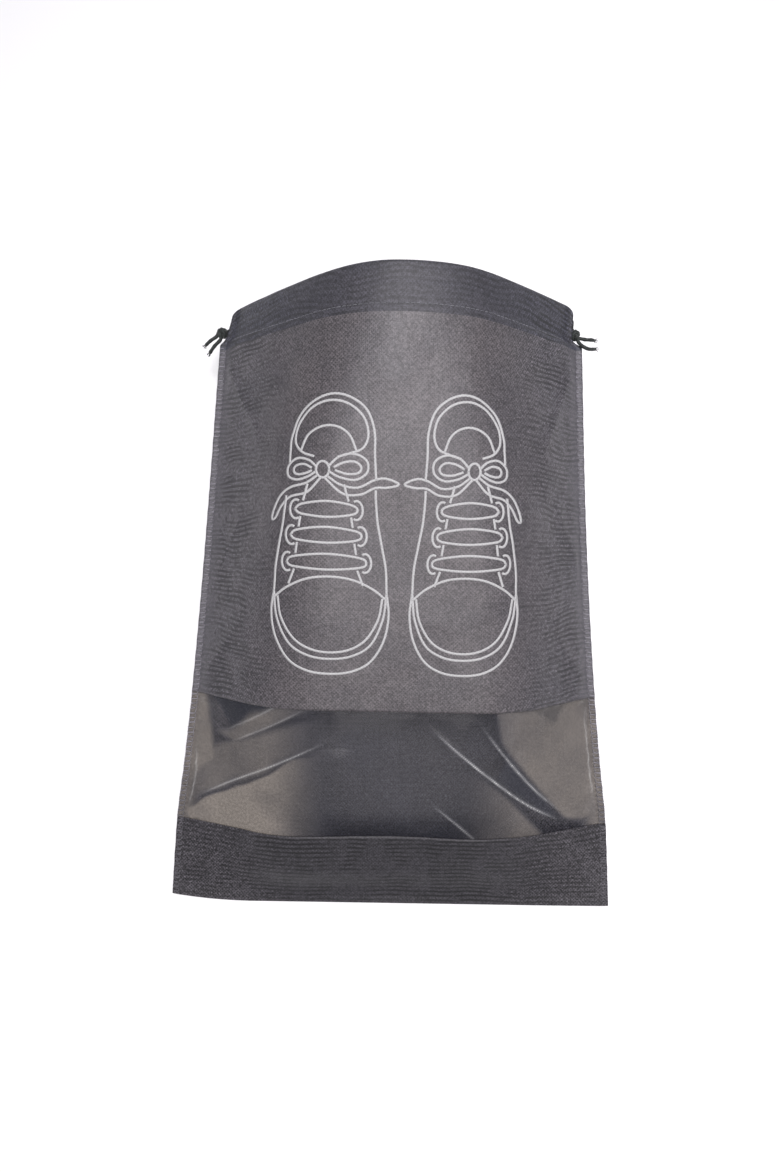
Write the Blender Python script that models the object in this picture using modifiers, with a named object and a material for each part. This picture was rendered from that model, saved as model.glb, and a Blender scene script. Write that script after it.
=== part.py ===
"""Shoe bag: a drawstring dust bag with a clear window, lying on its back and filled out.

Metres, +Z up. The bag lies on the plane z = 0 with its bottom edge towards -Y and its mouth
towards +Y. The origin is on that plane, under the middle of the bag's box.

Two base surfaces, front and back, meet at the side seams. A point on one of them is given by
u, from -1 at the left edge to 1 at the right edge, and by v, the distance from the bottom fold
along the cloth. Every layer is one of these surfaces moved along its inward normal by a depth.
"""
import math

import bmesh
import bpy
import numpy as np

# Flat sizes
FLAT_HALF_WIDTH = 0.160
FLAT_LENGTH = 0.440
BAND_TOP = 0.058
PANEL_BOTTOM = 0.151
WELD_OVERLAP = 0.010

# Layers
FABRIC = 0.0006
FILM = 0.0003
GAP = 0.0003
FABRIC_DEPTH = -(FILM / 2 + GAP + FABRIC / 2)
FOLD_RADIUS = -FABRIC_DEPTH
REST_HEIGHT = FOLD_RADIUS + FABRIC / 2

# Side seams
SEAM_WIDTH = 0.005
SEAM_END = {"left": 0.4140, "right": 0.4120}
OVERLOCK_LEG = 0.0045
OVERLOCK_THICKNESS = 0.0005
OVERLOCK_RISE = FOLD_RADIUS + FABRIC / 2 + GAP + OVERLOCK_THICKNESS / 2

# Hems
HEM_STITCH = 0.416
HEM_RAW_EDGE = 0.411
CHANNEL_START = 0.422
CHANNEL_DEPTH = 0.0042
HEM_END_INSET = {
    "left": ((0.4150, 0), (0.4215, 0.0062), (0.440, 0.0100)),
    "right": ((0.4130, 0), (0.4200, 0.0084), (0.440, 0.0070)),
}
HEM_END_LIFT = 0.00435
HEM_END_LIFT_START = 0.4150
HEM_END_LIFT_LENGTH = 0.0085
HEM_CORNER = 0.008
HEM_CORNER_ROUNDNESS = 0.9
HEM_INNER_SHARE = 0.945
STITCH_DIAMETER = 0.0005

# Cords
CORD_DIAMETER = 0.0025
CORD_DEPTH = FABRIC_DEPTH + CHANNEL_DEPTH / 2
LOWER_CORD = 0.427
UPPER_CORD = 0.435
CORD_TURN_INSET = 0.0040
CORD_TURN_STEPS = 6
KNOT_RADIUS = 0.0042
CORD_SIDES = 2

# The filled shape: each is a list of (distance from the bottom fold, value)
HALF_WIDTH = ((0, 0.1600), (0.055, 0.1595), (0.100, 0.1560), (0.200, 0.1480), (0.300, 0.1415),
              (0.440, 0.1355))
SEAM_HEIGHT = {
    "left": ((0, 0.0020), (0.060, 0.0024), (0.120, 0.0050), (0.200, 0.0134), (0.300, 0.0245),
             (0.440, 0.0345)),
    "right": ((0, 0.0020), (0.060, 0.0024), (0.120, 0.0050), (0.200, 0.0134), (0.300, 0.0270),
              (0.440, 0.0460)),
}
CROWN_HEIGHT = ((0, REST_HEIGHT), (0.006, 0.0020), (0.030, 0.0130), (0.060, 0.0240),
                (0.140, 0.0470), (0.270, 0.0790), (0.440, 0.1180))
CROWN_HALF_WIDTH = {
    "left": ((0, 0.080), (0.100, 0.072), (0.270, 0.056), (0.440, 0.012)),
    "right": ((0, 0.080), (0.100, 0.072), (0.270, 0.056), (0.440, 0.026)),
}
CROWN_SOFTNESS = 0.35
CROWN_ROUNDING = 0.020
SHOE_SPACING = 0.130
SHOE_RISE = ((0, 0), (0.060, 0.0050), (0.250, 0.0050), (0.380, 0.0005), (0.440, 0))
EDGE_LIFT_WIDTH = ((0, 0.060), (0.080, 0.030), (0.200, 0.020), (0.440, 0.052))
FRONT_BLEND = 0.022
CORNER_PULL = {"left": 0.0048, "right": 0.0008}
CORNER_REACH = 0.060

# Grid: places across, and rows along the cloth from the bottom fold
ACROSS = 30
BOTTOM_ROWS = (0.006, 0.014, 0.024, 0.036)
BACK_ROWS = tuple(np.linspace(0.055, 0.385, 11))
FRONT_ROWS = tuple(np.linspace(0.190, 0.385, 8))
FILM_ROWS = (0.082, 0.106, 0.130)
HEM_ROWS = (HEM_RAW_EDGE, HEM_STITCH, (HEM_STITCH + CHANNEL_START) / 2, CHANNEL_START,
            LOWER_CORD, (LOWER_CORD + UPPER_CORD) / 2)
OVERLOCK_ROWS = 29
OVERLOCK_START = 0.0015
SECTION_SAMPLES = 64
DERIVATIVE_STEP = 1e-4
SAME_PLACE = 3e-3
FOLD_STEPS = 4

# The box of the bag without its cords runs from the bottom fold to the hem's fold
Y_LOW = -REST_HEIGHT
Y_HIGH = FLAT_LENGTH + CHANNEL_DEPTH / 2 + FABRIC / 2
Y_SHIFT = -(Y_LOW + Y_HIGH) / 2

# Free ends: where each knot lies, and for each tail the direction in which it leaves the knot
# and where it ends, both from the knot's centre
LEFT_KNOT = {"side": -1, "beyond_edge": -0.0008, "along": 0.4245,
             "tails": (((-0.86, -0.45, 0.30), (-0.0140, -0.0094, -0.0020)),
                       ((-0.60, -0.74, -0.42), (-0.0112, -0.0146, -0.0050)))}
RIGHT_KNOT = {"side": 1, "beyond_edge": -0.0052, "along": 0.4225,
              "tails": (((0.95, 0.00, 0.30), (0.0150, -0.0028, -0.0010)),
                        ((0.80, -0.50, -0.35), (0.0178, -0.0090, -0.0045)))}
STRAND_LEAD = 0.0020

COLORS = {
    "front_fabric": (0.20, 0.19, 0.21, 1.0),
    "back_fabric": (0.07, 0.065, 0.07, 1.0),
    "film": (0.75, 0.76, 0.78, 1.0),
    "overlock_thread": (0.45, 0.44, 0.48, 1.0),
    "hem_thread": (0.12, 0.12, 0.14, 1.0),
    "cord": (0.01, 0.013, 0.012, 1.0),
}
ROUGHNESS = {
    "front_fabric": 0.8,
    "back_fabric": 0.8,
    "film": 0.12,
    "overlock_thread": 0.7,
    "hem_thread": 0.7,
    "cord": 0.75,
}


def smooth_step(value):
    """0 below 0, 1 above 1, and an S-shaped ramp between."""
    t = np.clip(value, 0.0, 1.0)
    return t * t * (3.0 - 2.0 * t)


def profile(points, v):
    """A monotone cubic curve through the given (distance, value) points."""
    xs = np.array([point[0] for point in points], float)
    ys = np.array([point[1] for point in points], float)
    steps = np.diff(xs)
    slopes = np.diff(ys) / steps
    tangents = np.empty_like(ys)
    tangents[0] = slopes[0]
    tangents[-1] = slopes[-1]
    for i in range(1, len(xs) - 1):
        if slopes[i - 1] * slopes[i] <= 0:
            tangents[i] = 0.0
        else:
            tangents[i] = 2.0 / (1.0 / slopes[i - 1] + 1.0 / slopes[i])
    v = np.clip(v, xs[0], xs[-1])
    k = min(int(np.searchsorted(xs, v, side="right")) - 1, len(steps) - 1)
    h = steps[k]
    t = (v - xs[k]) / h
    return ((1 + 2 * t) * (1 - t) ** 2 * ys[k] + t * (1 - t) ** 2 * h * tangents[k]
            + t * t * (3 - 2 * t) * ys[k + 1] + t * t * (t - 1) * h * tangents[k + 1])


def forward_table(points, steps=220):
    """How far along Y the cloth has come at each distance v, when it climbs by the profile."""
    v = np.linspace(0.0, FLAT_LENGTH, steps + 1)
    rise = np.array([profile(points, value) for value in v])
    run = np.sqrt(np.clip(np.diff(v) ** 2 - np.diff(rise) ** 2, 0.0, None))
    return v, np.concatenate([[0.0], np.cumsum(run)])


CROWN_FORWARD = forward_table(CROWN_HEIGHT)
SEAM_FORWARD = {hand: forward_table(points) for hand, points in SEAM_HEIGHT.items()}


def hand_of(side_sign):
    return "left" if side_sign < 0 else "right"


def soft_ramp(t):
    """Like max(0, t), rounded off over CROWN_SOFTNESS."""
    return 0.5 * (t + np.sqrt(t * t + CROWN_SOFTNESS ** 2))


def front_share(hand, x, inner, v):
    """1 on the crown, falling to 0 at the inner edge of the seam."""
    crown = profile(CROWN_HALF_WIDTH[hand], v)
    rounded = np.hypot(x, CROWN_ROUNDING) - CROWN_ROUNDING
    outer = math.hypot(inner, CROWN_ROUNDING) - CROWN_ROUNDING
    start = soft_ramp(-crown / (outer - crown))
    end = soft_ramp(1.0)
    share = 1.0 - (soft_ramp((rounded - crown) / (outer - crown)) - start) / (end - start)
    blend = smooth_step(v / FRONT_BLEND)
    return blend * share + (1.0 - blend) * (1.0 - back_share(x, inner, v))


def back_share(x, inner, v):
    """0 where the back lies flat, rising to 1 at the inner edge of the seam."""
    width = profile(EDGE_LIFT_WIDTH, v)
    return np.clip((x - inner + width) / width, 0.0, 1.0) ** 2


def section_heights(side, hand, x, inner, v):
    """Height and forward place of the base surface at distances x from the middle."""
    in_hem = smooth_step((v - HEM_END_LIFT_START) / HEM_END_LIFT_LENGTH)
    seam_y = np.interp(v, *SEAM_FORWARD[hand])
    if side == "front":
        share = front_share(hand, x, inner, v)
        seam_z = profile(SEAM_HEIGHT[hand], v) + HEM_END_LIFT * in_hem
        swell = profile(SHOE_RISE, v) * np.sin(math.pi * np.clip(x / SHOE_SPACING, 0, 1)) ** 2
        crown_z = profile(CROWN_HEIGHT, v)
        crown_y = np.interp(v, *CROWN_FORWARD)
        return seam_z + (crown_z - seam_z) * share + swell, seam_y + (crown_y - seam_y) * share
    share = back_share(x, inner, v)
    seam_z = profile(SEAM_HEIGHT[hand], v) - HEM_END_LIFT * in_hem
    return REST_HEIGHT + (seam_z - REST_HEIGHT) * share, v + (seam_y - v) * share


def corner_pull(hand, x, v):
    """How far a bottom corner is drawn towards the mouth, fading out over CORNER_REACH."""
    across = np.clip(1.0 - (profile(HALF_WIDTH, 0.0) - x) / CORNER_REACH, 0.0, 1.0)
    along = np.clip(1.0 - v / CORNER_REACH, 0.0, 1.0)
    return CORNER_PULL[hand] * across ** 2 * along ** 2


def edge_half_width(hand, v):
    """Half the width of the cloth; the hems stop short of the seam's edge."""
    return profile(HALF_WIDTH, v) - profile(HEM_END_INSET[hand], v)


def rounded_mouth(u, v):
    """Rounds the hem's corners: near the edges the mouth ends a little lower."""
    from_edge = (1.0 - abs(u)) * FLAT_HALF_WIDTH
    if v <= HEM_STITCH or from_edge >= HEM_CORNER:
        return v
    t = 1.0 - from_edge / HEM_CORNER
    drop = HEM_CORNER * (1.0 - math.sqrt(1.0 - HEM_CORNER_ROUNDNESS * t * t))
    return v - drop * (v - HEM_STITCH) / (FLAT_LENGTH - HEM_STITCH)


def base_point(side, u, v):
    """The point of the front or back base surface at u, v."""
    v = rounded_mouth(u, v)
    edge = edge_half_width(hand_of(u), v)
    inner = edge - SEAM_WIDTH
    seam_share = 1.0 - SEAM_WIDTH / FLAT_HALF_WIDTH
    x = np.linspace(0.0, inner, SECTION_SAMPLES)
    z, y = section_heights(side, hand_of(u), x, inner, v)
    arc = np.concatenate([[0.0], np.cumsum(np.hypot(np.diff(x), np.diff(z)))])
    place = abs(u) / seam_share
    if place <= 1.0:
        there = place * arc[-1]
        point = (np.interp(there, arc, x), np.interp(there, arc, y), np.interp(there, arc, z))
    else:
        along = (abs(u) - seam_share) / (1.0 - seam_share)
        point = (inner + along * SEAM_WIDTH, y[-1], z[-1])
    y = point[1] + Y_SHIFT + corner_pull(hand_of(u), point[0], v)
    return np.array([math.copysign(point[0], u), y, point[2]])


def frame_at(side, u, v):
    """Base point, unit direction towards the mouth and unit inward normal."""
    step = DERIVATIVE_STEP
    low_u = max(-1.0, u - step / FLAT_HALF_WIDTH)
    high_u = min(1.0, u + step / FLAT_HALF_WIDTH)
    low_v = max(0.0, v - step)
    high_v = min(FLAT_LENGTH, v + step)
    across = base_point(side, high_u, v) - base_point(side, low_u, v)
    along = base_point(side, u, high_v) - base_point(side, u, low_v)
    inward = np.cross(across, along)
    inward /= np.linalg.norm(inward)
    if (side == "front") == (inward[2] > 0):
        inward = -inward
    return base_point(side, u, v), along / np.linalg.norm(along), inward


def layer_point(side, u, v, depth):
    """A point of the layer that lies depth inside the base surface."""
    point, _, inward = frame_at(side, u, v)
    return point + inward * depth


def across_places():
    """Places across the cloth, closer near the edges, with one at each inner edge of the seam."""
    seam_share = 1.0 - SEAM_WIDTH / FLAT_HALF_WIDTH
    even = np.linspace(-1.0, 1.0, ACROSS + 1)
    inner = seam_share * (even + np.sin(even * math.pi / 2)) / 2
    return np.concatenate([[-1.0], inner, [1.0]])


def layer_row(side, v, depth, share=1.0):
    """One row of points across a layer; share narrows the row."""
    return [layer_point(side, u * share, v, depth) for u in across_places()]


def bottom_fold_rows():
    """The half turn of the cloth round the bottom edge, from front to back."""
    rows = []
    for step in range(FOLD_STEPS + 1):
        angle = math.pi * step / FOLD_STEPS
        row = []
        for u in across_places():
            point = base_point("back", u, 0.0)
            offset = (0.0, -FOLD_RADIUS * math.sin(angle), FOLD_RADIUS * math.cos(angle))
            row.append(point + np.array(offset))
        rows.append(row)
    return rows


def hem_rows(side):
    """The hem of one panel: over the mouth's fold, down inside and flat below the stitch."""
    rows = []
    radius = CHANNEL_DEPTH / 2
    for step in range(FOLD_STEPS + 1):
        angle = math.pi * step / FOLD_STEPS
        share = 1.0 - (1.0 - HEM_INNER_SHARE) * smooth_step(step / FOLD_STEPS)
        row = []
        for u in across_places():
            point, along, inward = frame_at(side, u * share, FLAT_LENGTH)
            depth = CORD_DEPTH - radius * math.cos(angle)
            row.append(point + inward * depth + along * radius * math.sin(angle))
        rows.append(row)
    inner_depth = FABRIC_DEPTH + CHANNEL_DEPTH
    flat_depth = FABRIC_DEPTH + FABRIC + GAP
    for v in reversed(HEM_ROWS):
        open_share = smooth_step((v - HEM_STITCH) / (CHANNEL_START - HEM_STITCH))
        depth = flat_depth + (inner_depth - flat_depth) * open_share
        rows.append(layer_row(side, v, depth, HEM_INNER_SHARE))
    return rows


def panel_rows(side, v_values):
    """Rows of a fabric panel from the first v to the last."""
    return [layer_row(side, v, FABRIC_DEPTH) for v in v_values]


def new_material(name):
    material = bpy.data.materials.new(name)
    material.use_nodes = True
    shader = material.node_tree.nodes["Principled BSDF"]
    shader.inputs["Base Color"].default_value = COLORS[name]
    shader.inputs["Roughness"].default_value = ROUGHNESS[name]
    shader.inputs["Metallic"].default_value = 0.0
    return material


def add_object(name, data, collection, material):
    obj = bpy.data.objects.new(name, data)
    data.materials.append(material)
    collection.objects.link(obj)
    return obj


def loft(name, rows, thickness, collection, material):
    """A sheet through rows of points, given its thickness by Solidify."""
    mesh = bpy.data.meshes.new(name)
    work = bmesh.new()
    grid = [[work.verts.new(point) for point in row] for row in rows]
    for lower, upper in zip(grid, grid[1:]):
        for i in range(len(lower) - 1):
            work.faces.new((lower[i], lower[i + 1], upper[i + 1], upper[i]))
    work.to_mesh(mesh)
    work.free()
    mesh.shade_smooth()
    obj = add_object(name, mesh, collection, material)
    solidify = obj.modifiers.new("Thickness", "SOLIDIFY")
    solidify.thickness = thickness
    solidify.offset = 0.0
    return obj


def tube(name, points, diameter, sides, collection, material):
    """A round cord along the given points."""
    curve = bpy.data.curves.new(name, "CURVE")
    curve.dimensions = "3D"
    curve.bevel_depth = diameter / 2
    curve.bevel_resolution = sides
    curve.use_fill_caps = True
    spline = curve.splines.new("POLY")
    spline.points.add(len(points) - 1)
    for spline_point, place in zip(spline.points, points):
        spline_point.co = (*place, 1.0)
    return add_object(name, curve, collection, material)


def smooth_route(points, step):
    """Points about one step apart on a smooth curve through the given points."""
    places = [np.array(point, float) for point in points]
    places = [2 * places[0] - places[1]] + places + [2 * places[-1] - places[-2]]
    route = []
    for a, b, c, d in zip(places, places[1:], places[2:], places[3:]):
        count = max(1, round(float(np.linalg.norm(c - b)) / step))
        for i in range(count):
            t = i / count
            route.append(0.5 * (2 * b + (c - a) * t + (2 * a - 5 * b + 4 * c - d) * t * t
                                + (3 * b - a - 3 * c + d) * t ** 3))
    route.append(places[-2])
    return route


def channel_run(v, side, direction, turn_side):
    """Points of a cord inside one hem; it stops short of the end where it turns back."""
    turn_place = 1.0 - CORD_TURN_INSET / FLAT_HALF_WIDTH
    places = [u * direction for u in across_places()]
    inside = [u for u in places if u * turn_side < turn_place - SAME_PLACE]
    if direction * turn_side > 0:
        inside = inside + [turn_side * turn_place]
    else:
        inside = [turn_side * turn_place] + inside
    return [layer_point(side, u, v, CORD_DEPTH) for u in inside]


def drawstring_route(v, knot_side):
    """From the knot's side through the front hem, round the far end and back."""
    front = channel_run(v, "front", -knot_side, -knot_side)
    back = channel_run(v, "back", knot_side, -knot_side)
    start = front[-1]
    end = back[0]
    middle = (start + end) / 2
    arm = (start - end) / 2
    outward = np.array([-knot_side, 0.0, 0.0])
    radius = float(np.linalg.norm(arm))
    turn = []
    for step in range(1, CORD_TURN_STEPS):
        angle = math.pi * step / CORD_TURN_STEPS
        reach = radius * math.sin(angle)
        turn.append(middle + arm * math.cos(angle) + outward * reach)
    return front + turn + back


def knot_centre(knot):
    """Level with the seam, just outside the ends of the hems."""
    v = knot["along"]
    x = knot["side"] * (profile(HALF_WIDTH, v) + knot["beyond_edge"])
    hand = hand_of(knot["side"])
    y = np.interp(v, *SEAM_FORWARD[hand]) + Y_SHIFT
    return np.array([x, y, profile(SEAM_HEIGHT[hand], v)])


def make_knot(name, knot, cord_v, collection, material):
    """A knot with its two strands from the channel ends and its two loose tails."""
    centre = knot_centre(knot)
    bpy.ops.mesh.primitive_uv_sphere_add(segments=16, ring_count=10, radius=KNOT_RADIUS)
    ball = bpy.context.object
    ball.name = name + "_knot"
    ball.data.name = ball.name
    ball.data.materials.append(material)
    ball.data.shade_smooth()
    for owner in ball.users_collection:
        owner.objects.unlink(ball)
    collection.objects.link(ball)
    ball.location = centre
    clear = KNOT_RADIUS + GAP
    for side in ("front", "back"):
        last = across_places()[-2:] * knot["side"]
        before, mouth = (layer_point(side, u, cord_v, CORD_DEPTH) for u in last)
        outward = (mouth - before) / np.linalg.norm(mouth - before)
        start = mouth + outward * GAP
        lead = start + outward * STRAND_LEAD
        toward = (centre - lead) / np.linalg.norm(centre - lead)
        points = (start, lead, centre - toward * clear)
        tube(f"{name}_strand_{side}", points, CORD_DIAMETER, CORD_SIDES, collection, material)
    for side, (leaving, reach) in zip(("front", "back"), knot["tails"]):
        leaving = np.array(leaving) / np.linalg.norm(leaving)
        start = centre + leaving * clear
        lead = start + leaving * CORD_DIAMETER
        points = smooth_route((start, lead, centre + np.array(reach)), CORD_DIAMETER)
        tube(f"{name}_tail_{side}", points, CORD_DIAMETER, CORD_SIDES, collection, material)


def make_overlock(name, side_sign, collection, material):
    """The thread wrapped round the seam's edge, as a thin channel on the stacked layers."""
    outer = OVERLOCK_THICKNESS / 2 + GAP
    rows = []
    for v in np.linspace(OVERLOCK_START, SEAM_END[hand_of(side_sign)], OVERLOCK_ROWS):
        x, y, z = base_point("back", side_sign, v)
        corners = ((-OVERLOCK_LEG, 1.0), (outer, 1.0), (outer, -1.0), (-OVERLOCK_LEG, -1.0))
        rows.append([(x + side_sign * reach, y, z + rise * OVERLOCK_RISE)
                     for reach, rise in corners])
    return loft(name, rows, OVERLOCK_THICKNESS, collection, material)


def make_hem_stitch(name, side, depth, collection, material):
    """One straight line of thread along the hem."""
    points = [layer_point(side, u * HEM_INNER_SHARE, HEM_STITCH, depth) for u in across_places()]
    return tube(name, points, STITCH_DIAMETER, 1, collection, material)


def clear_scene():
    for obj in list(bpy.data.objects):
        bpy.data.objects.remove(obj, do_unlink=True)


def main():
    clear_scene()
    bag = bpy.data.collections.new("shoe_bag")
    bpy.context.scene.collection.children.link(bag)
    materials = {name: new_material(name) for name in COLORS}

    panel_v = (PANEL_BOTTOM, PANEL_BOTTOM + WELD_OVERLAP, *FRONT_ROWS, *HEM_ROWS)
    front_rows = panel_rows("front", panel_v) + hem_rows("front")
    loft("front_panel", front_rows, FABRIC, bag, materials["front_fabric"])

    band_v = (BAND_TOP, BAND_TOP - WELD_OVERLAP, *reversed(BOTTOM_ROWS))
    back_v = (*BOTTOM_ROWS, *BACK_ROWS, *HEM_ROWS)
    back_rows = (panel_rows("front", band_v) + bottom_fold_rows()
                 + panel_rows("back", back_v) + hem_rows("back"))
    loft("back_panel", back_rows, FABRIC, bag, materials["back_fabric"])

    film_v = (BAND_TOP - WELD_OVERLAP, BAND_TOP, *FILM_ROWS, PANEL_BOTTOM,
              PANEL_BOTTOM + WELD_OVERLAP)
    film_rows = [layer_row("front", v, 0.0) for v in film_v]
    loft("window_film", film_rows, FILM, bag, materials["film"])

    make_overlock("left_overlock", -1, bag, materials["overlock_thread"])
    make_overlock("right_overlock", 1, bag, materials["overlock_thread"])

    outside = FABRIC_DEPTH - (FABRIC / 2 + GAP + STITCH_DIAMETER / 2)
    inside = FABRIC_DEPTH + FABRIC + GAP + (FABRIC / 2 + GAP + STITCH_DIAMETER / 2)
    make_hem_stitch("front_hem_stitch", "front", outside, bag, materials["hem_thread"])
    make_hem_stitch("back_hem_stitch", "back", inside, bag, materials["hem_thread"])

    for name, v, knot in (("left", LOWER_CORD, LEFT_KNOT), ("right", UPPER_CORD, RIGHT_KNOT)):
        route = drawstring_route(v, knot["side"])
        tube(f"{name}_drawstring", route, CORD_DIAMETER, CORD_SIDES, bag, materials["cord"])
        make_knot(name, knot, v, bag, materials["cord"])


main()
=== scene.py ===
"""Looks for the shoe bag: fine cloth, film, stitching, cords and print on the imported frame.

Metres, +Z up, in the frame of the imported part. The cloth surfaces repeat the part's own shape
rules, as tables over u (across, -1 to 1) and v (distance from the bottom fold), and then get
their folds. Every layer is one of these surfaces moved along its inward normal by a depth.
"""

import math

import bpy
import numpy as np
from mathutils import Matrix, Vector


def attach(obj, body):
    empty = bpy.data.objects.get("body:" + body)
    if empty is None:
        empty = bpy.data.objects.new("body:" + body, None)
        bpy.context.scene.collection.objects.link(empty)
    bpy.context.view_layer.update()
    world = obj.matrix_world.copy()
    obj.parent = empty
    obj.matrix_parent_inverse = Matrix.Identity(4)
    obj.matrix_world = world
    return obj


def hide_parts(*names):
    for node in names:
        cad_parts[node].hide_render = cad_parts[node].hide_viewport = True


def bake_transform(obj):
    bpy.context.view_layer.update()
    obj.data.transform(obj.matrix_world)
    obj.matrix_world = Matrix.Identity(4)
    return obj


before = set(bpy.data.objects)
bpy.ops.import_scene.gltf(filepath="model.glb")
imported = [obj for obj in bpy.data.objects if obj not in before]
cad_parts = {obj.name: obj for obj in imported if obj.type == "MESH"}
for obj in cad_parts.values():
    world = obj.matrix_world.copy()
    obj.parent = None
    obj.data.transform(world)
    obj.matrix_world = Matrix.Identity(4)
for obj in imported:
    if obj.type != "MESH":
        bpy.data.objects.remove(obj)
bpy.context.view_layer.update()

# ---------------------------------------------------------------- shape, as in the part
FLAT_HALF_WIDTH = 0.160
FLAT_LENGTH = 0.440
BAND_TOP = 0.058
PANEL_BOTTOM = 0.151
WELD_OVERLAP = 0.010
FABRIC = 0.0006
FILM = 0.0003
GAP = 0.0003
FABRIC_DEPTH = -(FILM / 2 + GAP + FABRIC / 2)
FOLD_RADIUS = -FABRIC_DEPTH
REST_HEIGHT = FOLD_RADIUS + FABRIC / 2
SEAM_WIDTH = 0.005
SEAM_END = {"left": 0.4140, "right": 0.4120}
HEM_STITCH = 0.416
HEM_RAW_EDGE = 0.411
CHANNEL_START = 0.422
CHANNEL_DEPTH = 0.0042
HEM_END_INSET = {
    "left": ((0.4150, 0), (0.4215, 0.0062), (0.440, 0.0100)),
    "right": ((0.4130, 0), (0.4200, 0.0084), (0.440, 0.0070)),
}
HEM_END_LIFT = 0.00435
HEM_END_LIFT_START = 0.4150
HEM_END_LIFT_LENGTH = 0.0085
HEM_CORNER = 0.008
HEM_CORNER_ROUNDNESS = 0.9
HEM_INNER_SHARE = 0.945
CORD_DIAMETER = 0.0025
CORD_DEPTH = FABRIC_DEPTH + CHANNEL_DEPTH / 2
LOWER_CORD = 0.427
UPPER_CORD = 0.435
CORD_TURN_INSET = 0.0040
HALF_WIDTH = ((0, 0.1600), (0.055, 0.1595), (0.100, 0.1560), (0.200, 0.1480), (0.300, 0.1415),
              (0.440, 0.1355))
SEAM_HEIGHT = {
    "left": ((0, 0.0020), (0.060, 0.0024), (0.120, 0.0050), (0.200, 0.0134), (0.300, 0.0245),
             (0.440, 0.0345)),
    "right": ((0, 0.0020), (0.060, 0.0024), (0.120, 0.0050), (0.200, 0.0134), (0.300, 0.0270),
              (0.440, 0.0460)),
}
CROWN_HEIGHT = ((0, REST_HEIGHT), (0.006, 0.0020), (0.030, 0.0130), (0.060, 0.0240),
                (0.140, 0.0470), (0.270, 0.0790), (0.440, 0.1180))
CROWN_HALF_WIDTH = {
    "left": ((0, 0.080), (0.100, 0.072), (0.270, 0.056), (0.440, 0.012)),
    "right": ((0, 0.080), (0.100, 0.072), (0.270, 0.056), (0.440, 0.026)),
}
CROWN_SOFTNESS = 0.35
CROWN_ROUNDING = 0.020
SHOE_SPACING = 0.130
SHOE_RISE = ((0, 0), (0.060, 0.0050), (0.250, 0.0050), (0.380, 0.0005), (0.440, 0))
EDGE_LIFT_WIDTH = ((0, 0.060), (0.080, 0.030), (0.200, 0.020), (0.440, 0.052))
FRONT_BLEND = 0.022
CORNER_PULL = {"left": 0.0048, "right": 0.0008}
CORNER_REACH = 0.060
SECTION_SAMPLES = 64
Y_LOW = -REST_HEIGHT
Y_HIGH = FLAT_LENGTH + CHANNEL_DEPTH / 2 + FABRIC / 2
Y_SHIFT = -(Y_LOW + Y_HIGH) / 2
KNOTS = {
    "left": {"side": -1, "beyond_edge": -0.0008, "along": 0.4245, "cord_v": LOWER_CORD},
    "right": {"side": 1, "beyond_edge": -0.0052, "along": 0.4225, "cord_v": UPPER_CORD},
}

# ---------------------------------------------------------------- camera and light
CAMERA_TARGET = (-0.0035, 0.0135, 0.0)
CAMERA_DISTANCE = 0.460
CAMERA_TILT = math.radians(6.67)
CAMERA_ROLL = math.radians(0.93)
CAMERA_LENS = 17.99
CLIP_START = 0.01
# Area lights that point at the middle: (name, place, width and height, watts, colour)
LIGHTS = (
    ("key", (0.06, 0.34, 1.05), (0.52, 0.42), 6.7, (0.975, 0.955, 1.0)),
    ("strip", (0.02, -0.22, 1.05), (0.34, 1.10), 5.7, (1.0, 0.950, 0.960)),
    ("fill", (0.8, -0.35, 1.20), (1.7, 1.7), 4.9, (1.0, 0.960, 0.990)),
)
WORLD_COLOUR = (0.95, 0.965, 1.0, 1.0)
WORLD_STRENGTH = 0.40
FLOOR_HALF = 4
FLOOR_Z = -0.0004

# ---------------------------------------------------------------- table and mesh steps
TABLE_STEP = 0.001
TABLE_ACROSS = 321
CLOTH_STEP = 0.0016
BACK_STEP = 0.0020
FILM_STEP = 0.0010
SEED = 11


def smooth_step(value):
    """0 below 0, 1 above 1, and an S-shaped ramp between."""
    t = np.clip(value, 0.0, 1.0)
    return t * t * (3.0 - 2.0 * t)


def profile(points, v):
    """A monotone cubic curve through the given (distance, value) points, for any array v."""
    xs = np.array([point[0] for point in points], float)
    ys = np.array([point[1] for point in points], float)
    steps = np.diff(xs)
    slopes = np.diff(ys) / steps
    tangents = np.empty_like(ys)
    tangents[0] = slopes[0]
    tangents[-1] = slopes[-1]
    for i in range(1, len(xs) - 1):
        if slopes[i - 1] * slopes[i] <= 0:
            tangents[i] = 0.0
        else:
            tangents[i] = 2.0 / (1.0 / slopes[i - 1] + 1.0 / slopes[i])
    v = np.clip(v, xs[0], xs[-1])
    k = np.minimum(np.searchsorted(xs, v, side="right") - 1, len(steps) - 1)
    h = steps[k]
    t = (v - xs[k]) / h
    return ((1 + 2 * t) * (1 - t) ** 2 * ys[k] + t * (1 - t) ** 2 * h * tangents[k]
            + t * t * (3 - 2 * t) * ys[k + 1] + t * t * (t - 1) * h * tangents[k + 1])


def forward_table(points, steps=220):
    """How far along Y the cloth has come at each distance v, when it climbs by the profile."""
    v = np.linspace(0.0, FLAT_LENGTH, steps + 1)
    rise = profile(points, v)
    run = np.sqrt(np.clip(np.diff(v) ** 2 - np.diff(rise) ** 2, 0.0, None))
    return v, np.concatenate([[0.0], np.cumsum(run)])


CROWN_FORWARD = forward_table(CROWN_HEIGHT)
SEAM_FORWARD = {hand: forward_table(points) for hand, points in SEAM_HEIGHT.items()}


def hand_of(side_sign):
    return "left" if side_sign < 0 else "right"


def soft_ramp(t):
    """Like max(0, t), rounded off over CROWN_SOFTNESS."""
    return 0.5 * (t + np.sqrt(t * t + CROWN_SOFTNESS ** 2))


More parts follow.
